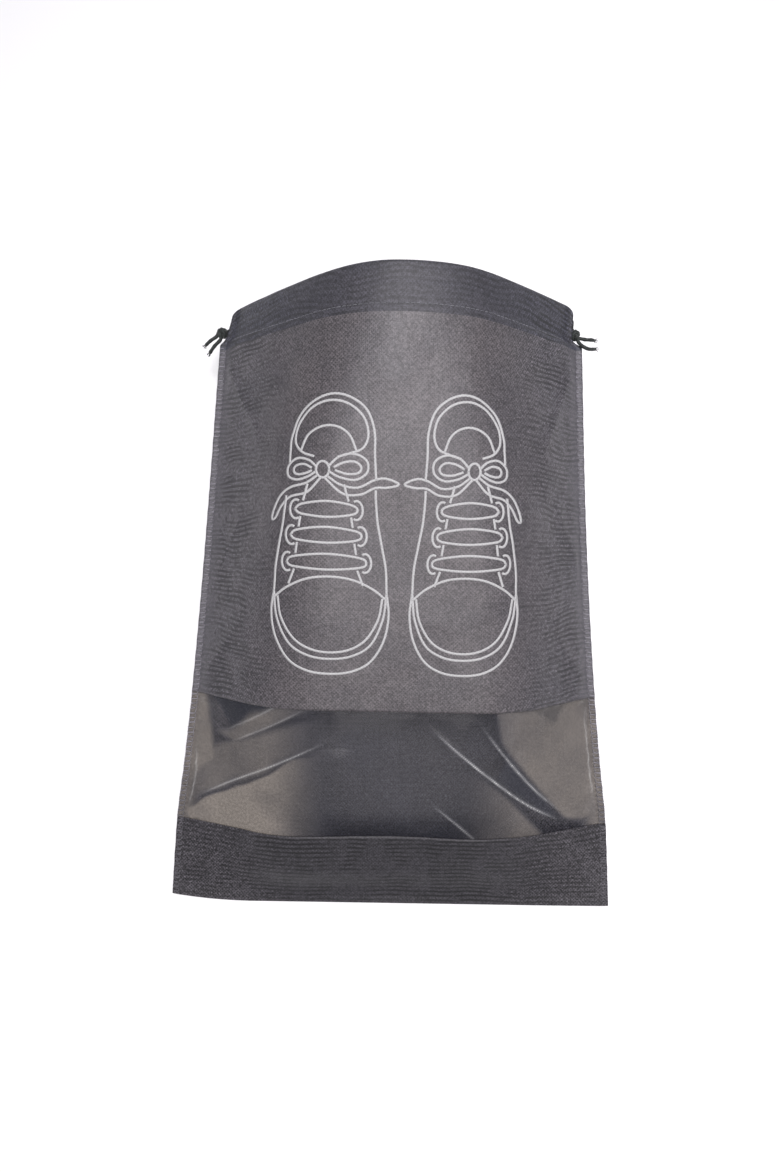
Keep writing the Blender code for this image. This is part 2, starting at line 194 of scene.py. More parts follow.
def back_share(x, inner, v):
    """0 where the back lies flat, rising to 1 at the inner edge of the seam."""
    width = profile(EDGE_LIFT_WIDTH, v)
    return np.clip((x - inner + width) / width, 0.0, 1.0) ** 2


def front_share(hand, x, inner, v):
    """1 on the crown, falling to 0 at the inner edge of the seam."""
    crown = profile(CROWN_HALF_WIDTH[hand], v)
    rounded = np.hypot(x, CROWN_ROUNDING) - CROWN_ROUNDING
    outer = math.hypot(inner, CROWN_ROUNDING) - CROWN_ROUNDING
    start = soft_ramp(-crown / (outer - crown))
    end = soft_ramp(1.0)
    share = 1.0 - (soft_ramp((rounded - crown) / (outer - crown)) - start) / (end - start)
    blend = smooth_step(v / FRONT_BLEND)
    return blend * share + (1.0 - blend) * (1.0 - back_share(x, inner, v))


def section_heights(side, hand, x, inner, v):
    """Height and forward place of the base surface at distances x from the middle."""
    in_hem = smooth_step((v - HEM_END_LIFT_START) / HEM_END_LIFT_LENGTH)
    seam_y = np.interp(v, *SEAM_FORWARD[hand])
    if side == "front":
        share = front_share(hand, x, inner, v)
        seam_z = profile(SEAM_HEIGHT[hand], v) + HEM_END_LIFT * in_hem
        swell = profile(SHOE_RISE, v) * np.sin(math.pi * np.clip(x / SHOE_SPACING, 0, 1)) ** 2
        crown_z = profile(CROWN_HEIGHT, v)
        crown_y = np.interp(v, *CROWN_FORWARD)
        return seam_z + (crown_z - seam_z) * share + swell, seam_y + (crown_y - seam_y) * share
    share = back_share(x, inner, v)
    seam_z = profile(SEAM_HEIGHT[hand], v) - HEM_END_LIFT * in_hem
    return REST_HEIGHT + (seam_z - REST_HEIGHT) * share, v + (seam_y - v) * share


def edge_half_width(hand, v):
    """Half the width of the cloth; the hems stop short of the seam's edge."""
    return profile(HALF_WIDTH, v) - profile(HEM_END_INSET[hand], v)


def rounded_mouth(u, v):
    """Rounds the hem's corners: near the edges the mouth ends a little lower."""
    from_edge = (1.0 - np.abs(u)) * FLAT_HALF_WIDTH
    t = np.clip(1.0 - from_edge / HEM_CORNER, 0.0, 1.0)
    drop = HEM_CORNER * (1.0 - np.sqrt(1.0 - HEM_CORNER_ROUNDNESS * t * t))
    return v - drop * np.clip((v - HEM_STITCH) / (FLAT_LENGTH - HEM_STITCH), 0.0, 1.0)


def corner_pull(hand, x, v):
    """How far a bottom corner is drawn towards the mouth, fading out over CORNER_REACH."""
    across = np.clip(1.0 - (profile(HALF_WIDTH, 0.0) - x) / CORNER_REACH, 0.0, 1.0)
    along = np.clip(1.0 - v / CORNER_REACH, 0.0, 1.0)
    return CORNER_PULL[hand] * across ** 2 * along ** 2


TABLE_V = np.linspace(0.0, FLAT_LENGTH, round(FLAT_LENGTH / TABLE_STEP) + 1)
TABLE_U = np.linspace(-1.0, 1.0, TABLE_ACROSS)


def half_section(side, hand, places, v):
    """Points of the base surface at one v, for places from 0 in the middle to 1 at the edge."""
    edge = edge_half_width(hand, v)
    inner = edge - SEAM_WIDTH
    seam_share = 1.0 - SEAM_WIDTH / FLAT_HALF_WIDTH
    x = np.linspace(0.0, inner, SECTION_SAMPLES)
    z, y = section_heights(side, hand, x, inner, v)
    arc = np.concatenate([[0.0], np.cumsum(np.hypot(np.diff(x), np.diff(z)))])
    there = np.minimum(places / seam_share, 1.0) * arc[-1]
    beyond = np.clip((places - seam_share) / (1.0 - seam_share), 0.0, 1.0) * SEAM_WIDTH
    point_x = np.interp(there, arc, x) + beyond
    point_y = np.interp(there, arc, y) + Y_SHIFT + corner_pull(hand, point_x, v)
    return np.stack([point_x, point_y, np.interp(there, arc, z)], axis=-1)


def base_table(side):
    """The base surface as a table [v, u] of points, before any folds."""
    middle = TABLE_ACROSS // 2
    places = TABLE_U[middle:]
    table = np.empty((len(TABLE_V), TABLE_ACROSS, 3))
    for row, v in enumerate(TABLE_V):
        right = half_section(side, "right", places, v)
        left = half_section(side, "left", places, v)
        left[:, 0] *= -1.0
        table[row, middle:] = right
        table[row, :middle + 1] = left[::-1]
        table[row, middle] = right[0]
    return table


HEM_SOFTEN_COLUMNS = 6
HEM_SOFTEN_RAMP = 0.007


def soften_hem(points):
    """Takes the crease of the side seam out of the hem, where the cloth isn't sewn together."""
    reach = HEM_SOFTEN_COLUMNS
    before = 2 * points[:, :1] - points[:, reach:0:-1]
    after = 2 * points[:, -1:] - points[:, -2:-reach - 2:-1]
    padded = np.concatenate([before, points, after], axis=1)
    weights = np.hanning(2 * reach + 3)[1:-1]
    weights /= weights.sum()
    count = points.shape[1]
    smooth = sum(w * padded[:, i:i + count] for i, w in enumerate(weights))
    share = smooth_step((TABLE_V - HEM_END_LIFT_START) / HEM_SOFTEN_RAMP)[:, None, None]
    return points + (smooth - points) * share


def inward_table(side, points):
    """Unit inward normals of a table of points."""
    along = np.gradient(points, axis=0)
    across = np.gradient(points, axis=1)
    inward = np.cross(across, along)
    inward /= np.linalg.norm(inward, axis=-1, keepdims=True)
    return -inward if side == "front" else inward


def lookup(table, u, v):
    """Bilinear value of a table at u, v."""
    u, v = np.broadcast_arrays(np.asarray(u, float), rounded_mouth(u, np.asarray(v, float)))
    column = np.clip((u + 1.0) / 2.0 * (TABLE_ACROSS - 1), 0, TABLE_ACROSS - 1 - 1e-9)
    row = np.clip(v / FLAT_LENGTH * (len(TABLE_V) - 1), 0, len(TABLE_V) - 1 - 1e-9)
    c = column.astype(int)
    r = row.astype(int)
    fc = (column - c)[..., None]
    fr = (row - r)[..., None]
    low = table[r, c] * (1 - fc) + table[r, c + 1] * fc
    high = table[r + 1, c] * (1 - fc) + table[r + 1, c + 1] * fc
    return low * (1 - fr) + high * fr


# ---------------------------------------------------------------- folds
NOISE_CELLS = 97
NOISE_START = (41.3, 23.7)
# Soft folds as layers of noise: (height, size of a cell, step from SEED)
BROAD_FOLDS = ((0.0013, 0.062, 1), (0.0008, 0.034, 2))
FINE_FOLDS = ((0.00030, 0.013, 3), (0.00012, 0.006, 4))
# Clouds in the film's haze and painted reflection: (strength, size of a cell, step from SEED)
HAZE_AND_REFLECTION_CLOUDS = ((0.14, 0.020, 13), (0.06, 0.007, 14))


def lattice_noise(x, y, size, seed_step):
    """Smooth noise from -1 to 1 whose cells are size wide."""
    cells = NOISE_CELLS
    values = np.random.default_rng(SEED + seed_step).uniform(-1.0, 1.0, (cells, cells))
    gx = np.asarray(x) / size + NOISE_START[0]
    gy = np.asarray(y) / size + NOISE_START[1]
    ix = np.floor(gx).astype(int)
    iy = np.floor(gy).astype(int)
    tx = smooth_step(gx - ix)
    ty = smooth_step(gy - iy)
    a = values[ix % cells, iy % cells]
    b = values[(ix + 1) % cells, iy % cells]
    c = values[ix % cells, (iy + 1) % cells]
    d = values[(ix + 1) % cells, (iy + 1) % cells]
    return (a * (1 - tx) + b * tx) * (1 - ty) + (c * (1 - tx) + d * tx) * ty


def layered_noise(s, v, layers):
    """The sum of several layers of noise."""
    return sum(height * lattice_noise(s, v, size, step) for height, size, step in layers)


RIDGE_FADE = 0.25


def ridge(s, v, start, end, height, width):
    """A straight fold from start to end, both (s, v): a crest that thins out at both ends."""
    direction = np.array(end, float) - np.array(start, float)
    length = np.linalg.norm(direction)
    direction /= length
    along = ((s - start[0]) * direction[0] + (v - start[1]) * direction[1]) / length
    off = np.abs((s - start[0]) * direction[1] - (v - start[1]) * direction[0]) / width
    ends = smooth_step(along / RIDGE_FADE) * smooth_step((1.0 - along) / RIDGE_FADE)
    return height * ends * np.exp(-off)


# Folds of the upper front panel and the band: (start, end, height, width), (s, v) on the cloth
FRONT_FOLDS = (
    ((-0.156, 0.408), (-0.100, 0.330), 0.0016, 0.0060),
    ((-0.150, 0.418), (-0.080, 0.372), 0.0013, 0.0055),
    ((0.156, 0.406), (0.104, 0.322), 0.0016, 0.0060),
    ((0.150, 0.418), (0.085, 0.376), 0.0013, 0.0050),
    ((-0.154, 0.160), (-0.112, 0.212), 0.0012, 0.0060),
    ((0.154, 0.158), (0.118, 0.205), 0.0012, 0.0060),
    ((-0.150, 0.235), (-0.118, 0.290), 0.0009, 0.0070),
    ((0.152, 0.240), (0.122, 0.300), 0.0009, 0.0070),
    ((-0.158, 0.010), (-0.110, 0.050), 0.0010, 0.0050),
    ((0.158, 0.008), (0.112, 0.048), 0.0010, 0.0050),
)
# Creases of the window film: (points in turn, height, width)
FILM_FOLDS = (
    (((0.012, 0.152), (0.040, 0.126), (0.068, 0.102), (0.095, 0.081), (0.136, 0.058)),
     0.0013, 0.0011),
    (((0.050, 0.154), (0.068, 0.128), (0.086, 0.106), (0.106, 0.086), (0.130, 0.066)),
     0.0009, 0.0010),
    (((0.020, 0.090), (0.046, 0.068), (0.066, 0.048)), 0.0007, 0.0009),
    (((-0.158, 0.068), (-0.120, 0.090), (-0.080, 0.110), (-0.030, 0.136)), 0.0007, 0.0011),
    (((-0.132, 0.124), (-0.098, 0.141), (-0.068, 0.158)), 0.0004, 0.0009),
    (((-0.124, 0.118), (-0.084, 0.137), (-0.050, 0.156)), 0.0004, 0.0008),
    (((-0.152, 0.118), (-0.149, 0.090), (-0.153, 0.060)), 0.0005, 0.0012),
    (((0.148, 0.150), (0.150, 0.110), (0.153, 0.066)), 0.0005, 0.0012),
)
# Facets of the film between its creases, with a brownish painted reflection: (corners in turn,
# strength of the painted reflection, how soft the edge is)
FILM_REFLECTION_FACETS = (
    (((0.072, 0.128), (0.105, 0.088), (0.126, 0.066), (0.160, 0.060), (0.160, 0.154),
      (0.066, 0.154)), 0.70, 0.006),
    (((0.020, 0.054), (0.030, 0.140), (0.062, 0.106), (0.095, 0.081), (0.134, 0.056)), 0.60, 0.006),
    (((-0.160, 0.074), (-0.160, 0.154), (-0.146, 0.154), (-0.128, 0.104)), 0.78, 0.010),
    (((-0.132, 0.124), (-0.074, 0.156), (-0.050, 0.156), (-0.112, 0.119)), 0.62, 0.008),
    (((-0.157, 0.067), (-0.120, 0.087), (-0.080, 0.108), (-0.020, 0.138), (-0.020, 0.054),
      (-0.150, 0.054)), 0.95, 0.005),
    (((-0.157, 0.070), (-0.150, 0.110), (-0.112, 0.124), (-0.050, 0.156), (-0.020, 0.138)),
     0.62, 0.010),
)
# Facets that lie in the shade of the panel above: (corners in turn, shade, edge)
FILM_SHADE = (
    (((-0.142, 0.156), (-0.118, 0.134), (-0.074, 0.156)), 0.60, 0.005),
    (((0.086, 0.156), (0.118, 0.137), (0.142, 0.156)), 0.60, 0.006),
    (((0.076, 0.124), (0.118, 0.070), (0.098, 0.080), (0.070, 0.104)), 0.30, 0.005),
)
# The painted reflection in the facets fades out towards the middle of the film
REFLECTION_CLEAR_MIDDLE = 0.034
REFLECTION_FADE = 0.060
SEAM_HAZE = 0.75
SEAM_HAZE_REACH = 0.020
FACET_DRIFT = 0.003
FACET_DRIFT_CELL = 0.016
CREASE_STEPS = 6
CREASE_FADE = 0.3
# Crease whitening, partly a painted highlight: its width, and the fold height that gives it in full
CREASE_WHITENING_AND_HIGHLIGHT_WIDTH = 0.0009
CREASE_HEIGHT_FULL_WHITENING_AND_HIGHLIGHT = 0.0013
FILM_RIPPLE = 0.0009
FILM_RIPPLE_CELL = 0.026
FILM_ATTRIBUTES = ("stress", "haze", "shade")


def spline(points, steps_between):
    """A smooth curve through the points; steps_between gives the steps from one to the next."""
    places = [np.array(point, float) for point in points]
    places = [2 * places[0] - places[1]] + places + [2 * places[-1] - places[-2]]
    curve = []
    for a, b, c, d in zip(places, places[1:], places[2:], places[3:]):
        count = steps_between(b, c)
        for i in range(count):
            t = i / count
            curve.append(0.5 * (2 * b + (c - a) * t + (2 * a - 5 * b + 4 * c - d) * t * t
                                + (3 * b - a - 3 * c + d) * t ** 3))
    curve.append(places[-2])
    return np.array(curve)


def smooth_route(points, step):
    """Points about one step apart on a smooth curve through the given points."""
    return spline(points, lambda a, b: max(1, round(float(np.linalg.norm(b - a)) / step)))


def along_line(s, v, points, width):
    """1 on a line through the points, fading out to both sides and thinning out at both ends."""
    share = np.zeros(np.broadcast(s, v).shape)
    points = spline(points, lambda a, b: CREASE_STEPS)
    lengths = [math.dist(a, b) for a, b in zip(points, points[1:])]
    done = 0.0
    for start, end, length in zip(points, points[1:], lengths):
        direction = (end - start) / length
        along = np.clip((s - start[0]) * direction[0] + (v - start[1]) * direction[1], 0, length)
        off = np.hypot(s - start[0] - along * direction[0], v - start[1] - along * direction[1])
        place = (done + along) / sum(lengths)
        ends = smooth_step(place / CREASE_FADE) * smooth_step((1.0 - place) / CREASE_FADE)
        share = np.maximum(share, ends * np.exp(-off / width))
        done += length
    return share


def polygon_share(s, v, corners, edge):
    """1 inside a convex polygon, 0 outside, with a ramp edge wide."""
    middle = np.mean(corners, axis=0)
    share = np.ones(np.broadcast(s, v).shape)
    for start, end in zip(corners, corners[1:] + corners[:1]):
        direction = np.array(end) - np.array(start)
        normal = np.array([-direction[1], direction[0]]) / np.linalg.norm(direction)
        if np.dot(middle - np.array(start), normal) < 0:
            normal = -normal
        inside = (s - start[0]) * normal[0] + (v - start[1]) * normal[1]
        share = share * smooth_step(inside / edge + 0.5)
    return share


def facet_level(s, v, facets):
    """The strongest of the given facets at s, v, with slightly wandering edges."""
    drift = FACET_DRIFT * lattice_noise(s, v, FACET_DRIFT_CELL, 12)
    level = np.zeros(np.broadcast(s, v).shape)
    for corners, strength, edge in facets:
        level = np.maximum(level, strength * polygon_share(s + drift, v - drift, corners, edge))
    return level


def film_haze_and_reflection(s, v):
    """How hazy the film is near the seams, and how strong the painted reflection in its facets is,
    from 0 to 1.
    """
    seam = SEAM_HAZE * near_seam(s, SEAM_HAZE_REACH)
    fade = smooth_step((np.abs(s) - REFLECTION_CLEAR_MIDDLE) / REFLECTION_FADE)
    haze = np.maximum(seam, facet_level(s, v, FILM_REFLECTION_FACETS) * fade)
    return np.clip(haze * (1.0 + layered_noise(s, v, HAZE_AND_REFLECTION_CLOUDS)), 0.0, 1.0)


def beyond_seam(s):
    """Distance from the inner edge of the side seam towards the middle."""
    return FLAT_HALF_WIDTH - np.abs(s) - SEAM_WIDTH


def near_seam(s, reach):
    """1 at the seam, falling to 0 over the reach."""
    return smooth_step(1.0 - beyond_seam(s) / reach)


# Waves of the side seams, and puckers of the cloth next to them
SEAM_WAVE = {"height": 0.0006, "pitch": 0.0135, "reach": 0.012, "ramp": 0.03, "wander": 2.6,
             "cell": 0.03}
PUCKER = {"height": 0.00045, "pitch": 0.0098, "reach": 0.022, "ramp": 0.01, "wander": 3.0,
          "cell": 0.02}
CALM_START = 0.400
CALM_RAMP = 0.030
CALM_SHARE = 0.75
WINDOW_RAMP = 0.006
# The folds reach their full height this far from a seam, and over this (start, ramp) at the bottom
SEAM_HOLD = 0.010
FILM_SEAM_HOLD = 0.008
BACK_SEAM_HOLD = 0.012
FRONT_BOTTOM_HOLD = (0.004, 0.03)
BACK_BOTTOM_HOLD = (0.010, 0.04)
BACK_BROAD_HEIGHT = 0.0016
BACK_BROAD_CELL = 0.050
BACK_FINE_HEIGHT = 0.00035
BACK_FINE_CELL = 0.014


def ramp_up(v, hold):
    """0 up to the hold's start, rising to 1 over its ramp."""
    start, ramp = hold
    return smooth_step((v - start) / ramp)


def edge_wave(s, v):
    """The height of the small waves of the side seams, the same for front and back."""
    wander = SEAM_WAVE["wander"] * lattice_noise(v, np.sign(s), SEAM_WAVE["cell"], 0)
    wave = 0.5 + 0.5 * np.sin(v / SEAM_WAVE["pitch"] * 2 * math.pi + wander)
    ramp = SEAM_WAVE["ramp"]
    size = SEAM_WAVE["height"] * smooth_step(v / ramp) * smooth_step((HEM_RAW_EDGE - v) / ramp)
    return size * wave * near_seam(s, SEAM_WAVE["reach"])


def front_fold_depth(s, v):
    """How far inward the front surface moves at s, v; outward is negative."""
    held = smooth_step(beyond_seam(s) / SEAM_HOLD) * ramp_up(v, FRONT_BOTTOM_HOLD)
    cloth = 1.0 - window_share(v)
    calm = 1.0 - CALM_SHARE * smooth_step((v - CALM_START) / CALM_RAMP)
    soft = layered_noise(s, v, BROAD_FOLDS) + cloth * layered_noise(s, v, FINE_FOLDS)
    wander = PUCKER["wander"] * lattice_noise(s, v, PUCKER["cell"], 5)
    pucker = (PUCKER["height"] * np.sin(v / PUCKER["pitch"] * 2 * math.pi + wander)
              * near_seam(s, PUCKER["reach"]) * smooth_step((HEM_RAW_EDGE - v) / PUCKER["ramp"]))
    folds = sum(ridge(s, v, *fold) for fold in FRONT_FOLDS)
    return -edge_wave(s, v) - held * (calm * soft + pucker + folds)


def window_share(v):
    """1 over the film window, 0 on the cloth, with a short ramp."""
    above = smooth_step((v - BAND_TOP) / WINDOW_RAMP)
    return above * smooth_step((PANEL_BOTTOM - v) / WINDOW_RAMP)


def film_fold_depth(s, v):
    """The film's own sharp folds, on top of the shared surface."""
    inside = smooth_step(beyond_seam(s) / FILM_SEAM_HOLD)
    depth = -FILM_RIPPLE * np.abs(lattice_noise(s, v, FILM_RIPPLE_CELL, 6))
    for points, height, width in FILM_FOLDS:
        depth = depth - height * along_line(s, v, points, width)
    return depth * inside * window_share(v)


def film_whitening_and_highlight(s, v):
    """How white the film is along its creases, from 0 to 1: stress whitening and a painted
    highlight.
    """
    stress = np.zeros(np.broadcast(s, v).shape)
    for points, height, _ in FILM_FOLDS:
        white_and_highlight = along_line(s, v, points, CREASE_WHITENING_AND_HIGHLIGHT_WIDTH) ** 2
        stress = np.maximum(stress, height / CREASE_HEIGHT_FULL_WHITENING_AND_HIGHLIGHT * white_and_highlight)
    return stress


def back_fold_depth(s, v):
    """How far the back surface rises off the floor at s, v."""
    held = smooth_step(beyond_seam(s) / BACK_SEAM_HOLD) * ramp_up(v, BACK_BOTTOM_HOLD)
    broad = BACK_BROAD_HEIGHT * np.clip(lattice_noise(s, v, BACK_BROAD_CELL, 7), 0.0, 1.0)
    fine = BACK_FINE_HEIGHT * np.abs(lattice_noise(s, v, BACK_FINE_CELL, 8))
    return edge_wave(s, v) + held * (broad + fine)


CORD_SWELL = 0.00035
CORD_SWELL_WIDTH = 0.0022
STITCH_DRAW = 0.00018
STITCH_DRAW_WIDTH = 0.0016
HEM_SWELL_INSET = 0.004
HEM_SWELL_RAMP = 0.01


def hem_depth(s, v):
    """The hem swells a little over each cord and is drawn in at its stitch."""
    cords = sum(np.exp(-((v - cord) / CORD_SWELL_WIDTH) ** 2) for cord in (LOWER_CORD, UPPER_CORD))
    stitch = np.exp(-((v - HEM_STITCH) / STITCH_DRAW_WIDTH) ** 2)
    from_edge = FLAT_HALF_WIDTH - np.abs(s)
    held = smooth_step((from_edge - HEM_SWELL_INSET) / HEM_SWELL_RAMP)
    return held * (STITCH_DRAW * stitch - CORD_SWELL * cords)


def make_surface(side):
    """Tables of points and inward normals of one side, with its folds."""
    points = soften_hem(base_table(side))
    inward = inward_table(side, points)
    s = TABLE_U[None, :] * FLAT_HALF_WIDTH
    v = TABLE_V[:, None]
    if side == "front":
        depth = front_fold_depth(s, v) + hem_depth(s, v)
    else:
        depth = back_fold_depth(s, v)
    folded = points + inward * depth[..., None]
    return {"points": folded, "inward": inward_table(side, folded), "base": points}


SURFACES = {side: make_surface(side) for side in ("front", "back")}


def layer(side, u, v, depth):
    """Points of the layer that lies depth inside the folded surface."""
    surface = SURFACES[side]
    inward = lookup(surface["inward"], u, v)
    inward = inward / np.linalg.norm(inward, axis=-1, keepdims=True)
    return lookup(surface["points"], u, v) + inward * np.asarray(depth, float)[..., None]


def direction_along(side, u, v):
    """Unit direction towards the mouth."""
    high = lookup(SURFACES[side]["points"], u, v)
    low = lookup(SURFACES[side]["points"], u, np.asarray(v, float) - TABLE_STEP)
    along = high - low
    return along / np.linalg.norm(along, axis=-1, keepdims=True)


def place_across(side, x, v):
    """The u of each place where the surface is x from the middle plane at v."""
    rows = np.clip(v / FLAT_LENGTH * (len(TABLE_V) - 1), 0, len(TABLE_V) - 1).astype(int)
    table = SURFACES[side]["base"][..., 0]
    return np.array([np.interp(place, table[row], TABLE_U) for place, row in zip(x, rows)])


# ---------------------------------------------------------------- mesh helpers
def add_to_scene(name, data):
    """A new object with the given data."""
    obj = bpy.data.objects.new(name, data)
    bpy.context.scene.collection.objects.link(obj)
    return obj


def new_object(name, mesh, material):
    mesh.materials.append(material)
    return add_to_scene(name, mesh)


def mesh_from(name, vertices, faces, uv=None):
    """A smooth mesh; uv gives one (s, t) for each vertex."""
    mesh = bpy.data.meshes.new(name)
    mesh.from_pydata([tuple(p) for p in vertices], [], faces)
    mesh.shade_smooth()
    if uv is not None:
        layer_uv = mesh.uv_layers.new(name="cloth")
        index = np.empty(len(mesh.loops), int)
        mesh.loops.foreach_get("vertex_index", index)
        layer_uv.data.foreach_set("uv", np.asarray(uv, float)[index].ravel())
    mesh.update()
    return mesh


def grid_faces(rows, columns, close_across=False):
    """Quads of a grid of rows by columns vertices."""
    across = columns if close_across else columns - 1
    r, c = np.meshgrid(np.arange(rows - 1), np.arange(across), indexing="ij")
    nxt = (c + 1) % columns
    quads = np.stack([r * columns + c, r * columns + nxt,
                      (r + 1) * columns + nxt, (r + 1) * columns + c], axis=-1)
    return [tuple(q) for q in quads.reshape(-1, 4).tolist()]


def end_faces(rings, around):
    """The two flat ends of a tube of rings."""
    last = (rings - 1) * around
    return [tuple(range(around))[::-1], tuple(range(last, last + around))]


def mesh_object(name, parts, material):
    """An object from (vertices, faces, uv)."""
    return new_object(name, mesh_from(name, *parts), MATERIALS[material])


def add_root_piece(name, parts, slot, node):
    """A piece on the bag itself that stands for a CAD node."""
    obj = mesh_object(name, parts, slot)
    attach(obj, "root")
    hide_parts(node)
    return obj


NEARLY_UPRIGHT = 1e-3


def frames_along(path):
    """Two unit side directions at each point of a path, turning as little as possible."""
    path = np.asarray(path, float)
    tangents = np.gradient(path, axis=0)
    tangents /= np.linalg.norm(tangents, axis=1, keepdims=True)
    side = np.cross(tangents[0], (0.0, 0.0, 1.0))
    if np.linalg.norm(side) < NEARLY_UPRIGHT:
        side = np.cross(tangents[0], (0.0, 1.0, 0.0))
    sides = []
    for tangent in tangents:
        side = side - tangent * np.dot(side, tangent)
        side = side / np.linalg.norm(side)
        sides.append(side)
    sides = np.array(sides)
    return sides, np.cross(tangents, sides)


def tube_parts(path, radius, around):
    """Vertices, faces and (around, along) uv of a tube; radius is a number or a function."""
    path = np.asarray(path, float)
    first, second = frames_along(path)
    steps = np.concatenate([[0.0], np.cumsum(np.linalg.norm(np.diff(path, axis=0), axis=1))])
    angle = np.arange(around) / around * 2 * math.pi
    if callable(radius):
        size = radius(angle[None, :], steps[:, None], steps[-1])
    else:
        size = np.full((len(path), around), float(radius))
    ring = (first[:, None, :] * np.cos(angle)[None, :, None]
            + second[:, None, :] * np.sin(angle)[None, :, None])
    vertices = (path[:, None, :] + ring * size[..., None]).reshape(-1, 3)
    faces = grid_faces(len(path), around, close_across=True) + end_faces(len(path), around)
    uv = np.stack(np.broadcast_arrays(angle[None, :] / (2 * math.pi), steps[:, None]), -1)
    return vertices, faces, uv.reshape(-1, 2)


def join_parts(parts):
    """One set of vertices, faces and uv from several."""
    vertices = []
    faces = []
    uv = []
    first = 0
    for part_vertices, part_faces, part_uv in parts:
        vertices.append(part_vertices)
        faces += [tuple(i + first for i in face) for face in part_faces]
        uv.append(part_uv)
        first += len(part_vertices)
    return np.concatenate(vertices), faces, np.concatenate(uv)


def even_route(points, step):
    """The same route with points one step apart."""
    points = np.asarray(points, float)
    lengths = np.concatenate([[0.0], np.cumsum(np.linalg.norm(np.diff(points, axis=0), axis=1))])
    count = max(2, round(lengths[-1] / step) + 1)
    there = np.linspace(0.0, lengths[-1], count)
    return np.stack([np.interp(there, lengths, points[:, i]) for i in range(points.shape[1])], -1)


# ---------------------------------------------------------------- materials
DOT_PITCH = 0.0018
LINE_PITCH = 0.0036
LINE_DETAIL = 1.5
WAVE_UNIT = 20.0
DOT_EDGE = 0.36
DOT_FLAT = 0.20
MIX_COLOUR_A = 6
MIX_COLOUR_B = 7
MIX_COLOUR_OUTPUT = 2
# Lighter margin by the side seams above the window: fluff, and painted light over the shade of the
# seam's fold
SEAM_FLUFF_AND_LIGHT = (0.130, 0.126, 0.138)
SEAM_FLUFF_AND_LIGHT_START = 0.1390
SEAM_FLUFF_AND_LIGHT_FULL = 0.1530
SEAM_FLUFF_AND_LIGHT_STRENGTH = 0.45
SEAM_FLUFF_AND_LIGHT_TOP = (0.4150, 0.4130)
SIDE_START = 0.050
SIDE_FULL = 0.135
HEM_EDGE_SOFT = (0.0004, 0.0002)
HEM_LINES = 0.5
BRIGHTER = 2.4
DEEPER = 0.12
# Strength of the grain in the middle and at the sides
CONTRAST = (0.50, 0.85)
# Noises of the cloth: (scale, detail, roughness, distortion)
FIBRES = (900.0, 4.0, 0.75, 1.0)
GRAIN = (450.0, 1.5, 0.5, 0.0)
MOTTLE = (130.0, 3.0, 0.6, 0.5)
DENSITY = (22.0, 4.0, 0.6, 0.0)
PATCHES = (48.0, 2.0, 0.5, 0.8)
# The tint of the sides is painted light and shade on the cloth's sloping sides
CLOTH_LOOKS = {
    "front_fabric": {
        "light": (0.086, 0.076, 0.081), "dark": (0.060, 0.055, 0.062),
        "side_painted_light": (1.06, 1.10, 1.18), "hem_tint": (0.54, 0.58, 0.68),
        "wander": 18.0, "reach": 0.060, "line_levels": (0.0, 0.85, 1.0), "gloss": 0.60},
    "back_fabric": {
        "light": (0.042, 0.0395, 0.046), "dark": (0.030, 0.0285, 0.034),
        "side_painted_light": (1.48, 1.46, 1.42), "hem_tint": (0.86, 0.87, 0.93),
        "wander": 4.6, "reach": 0.040, "line_levels": (0.78, 0.62, 0.25), "gloss": 0.38},
}


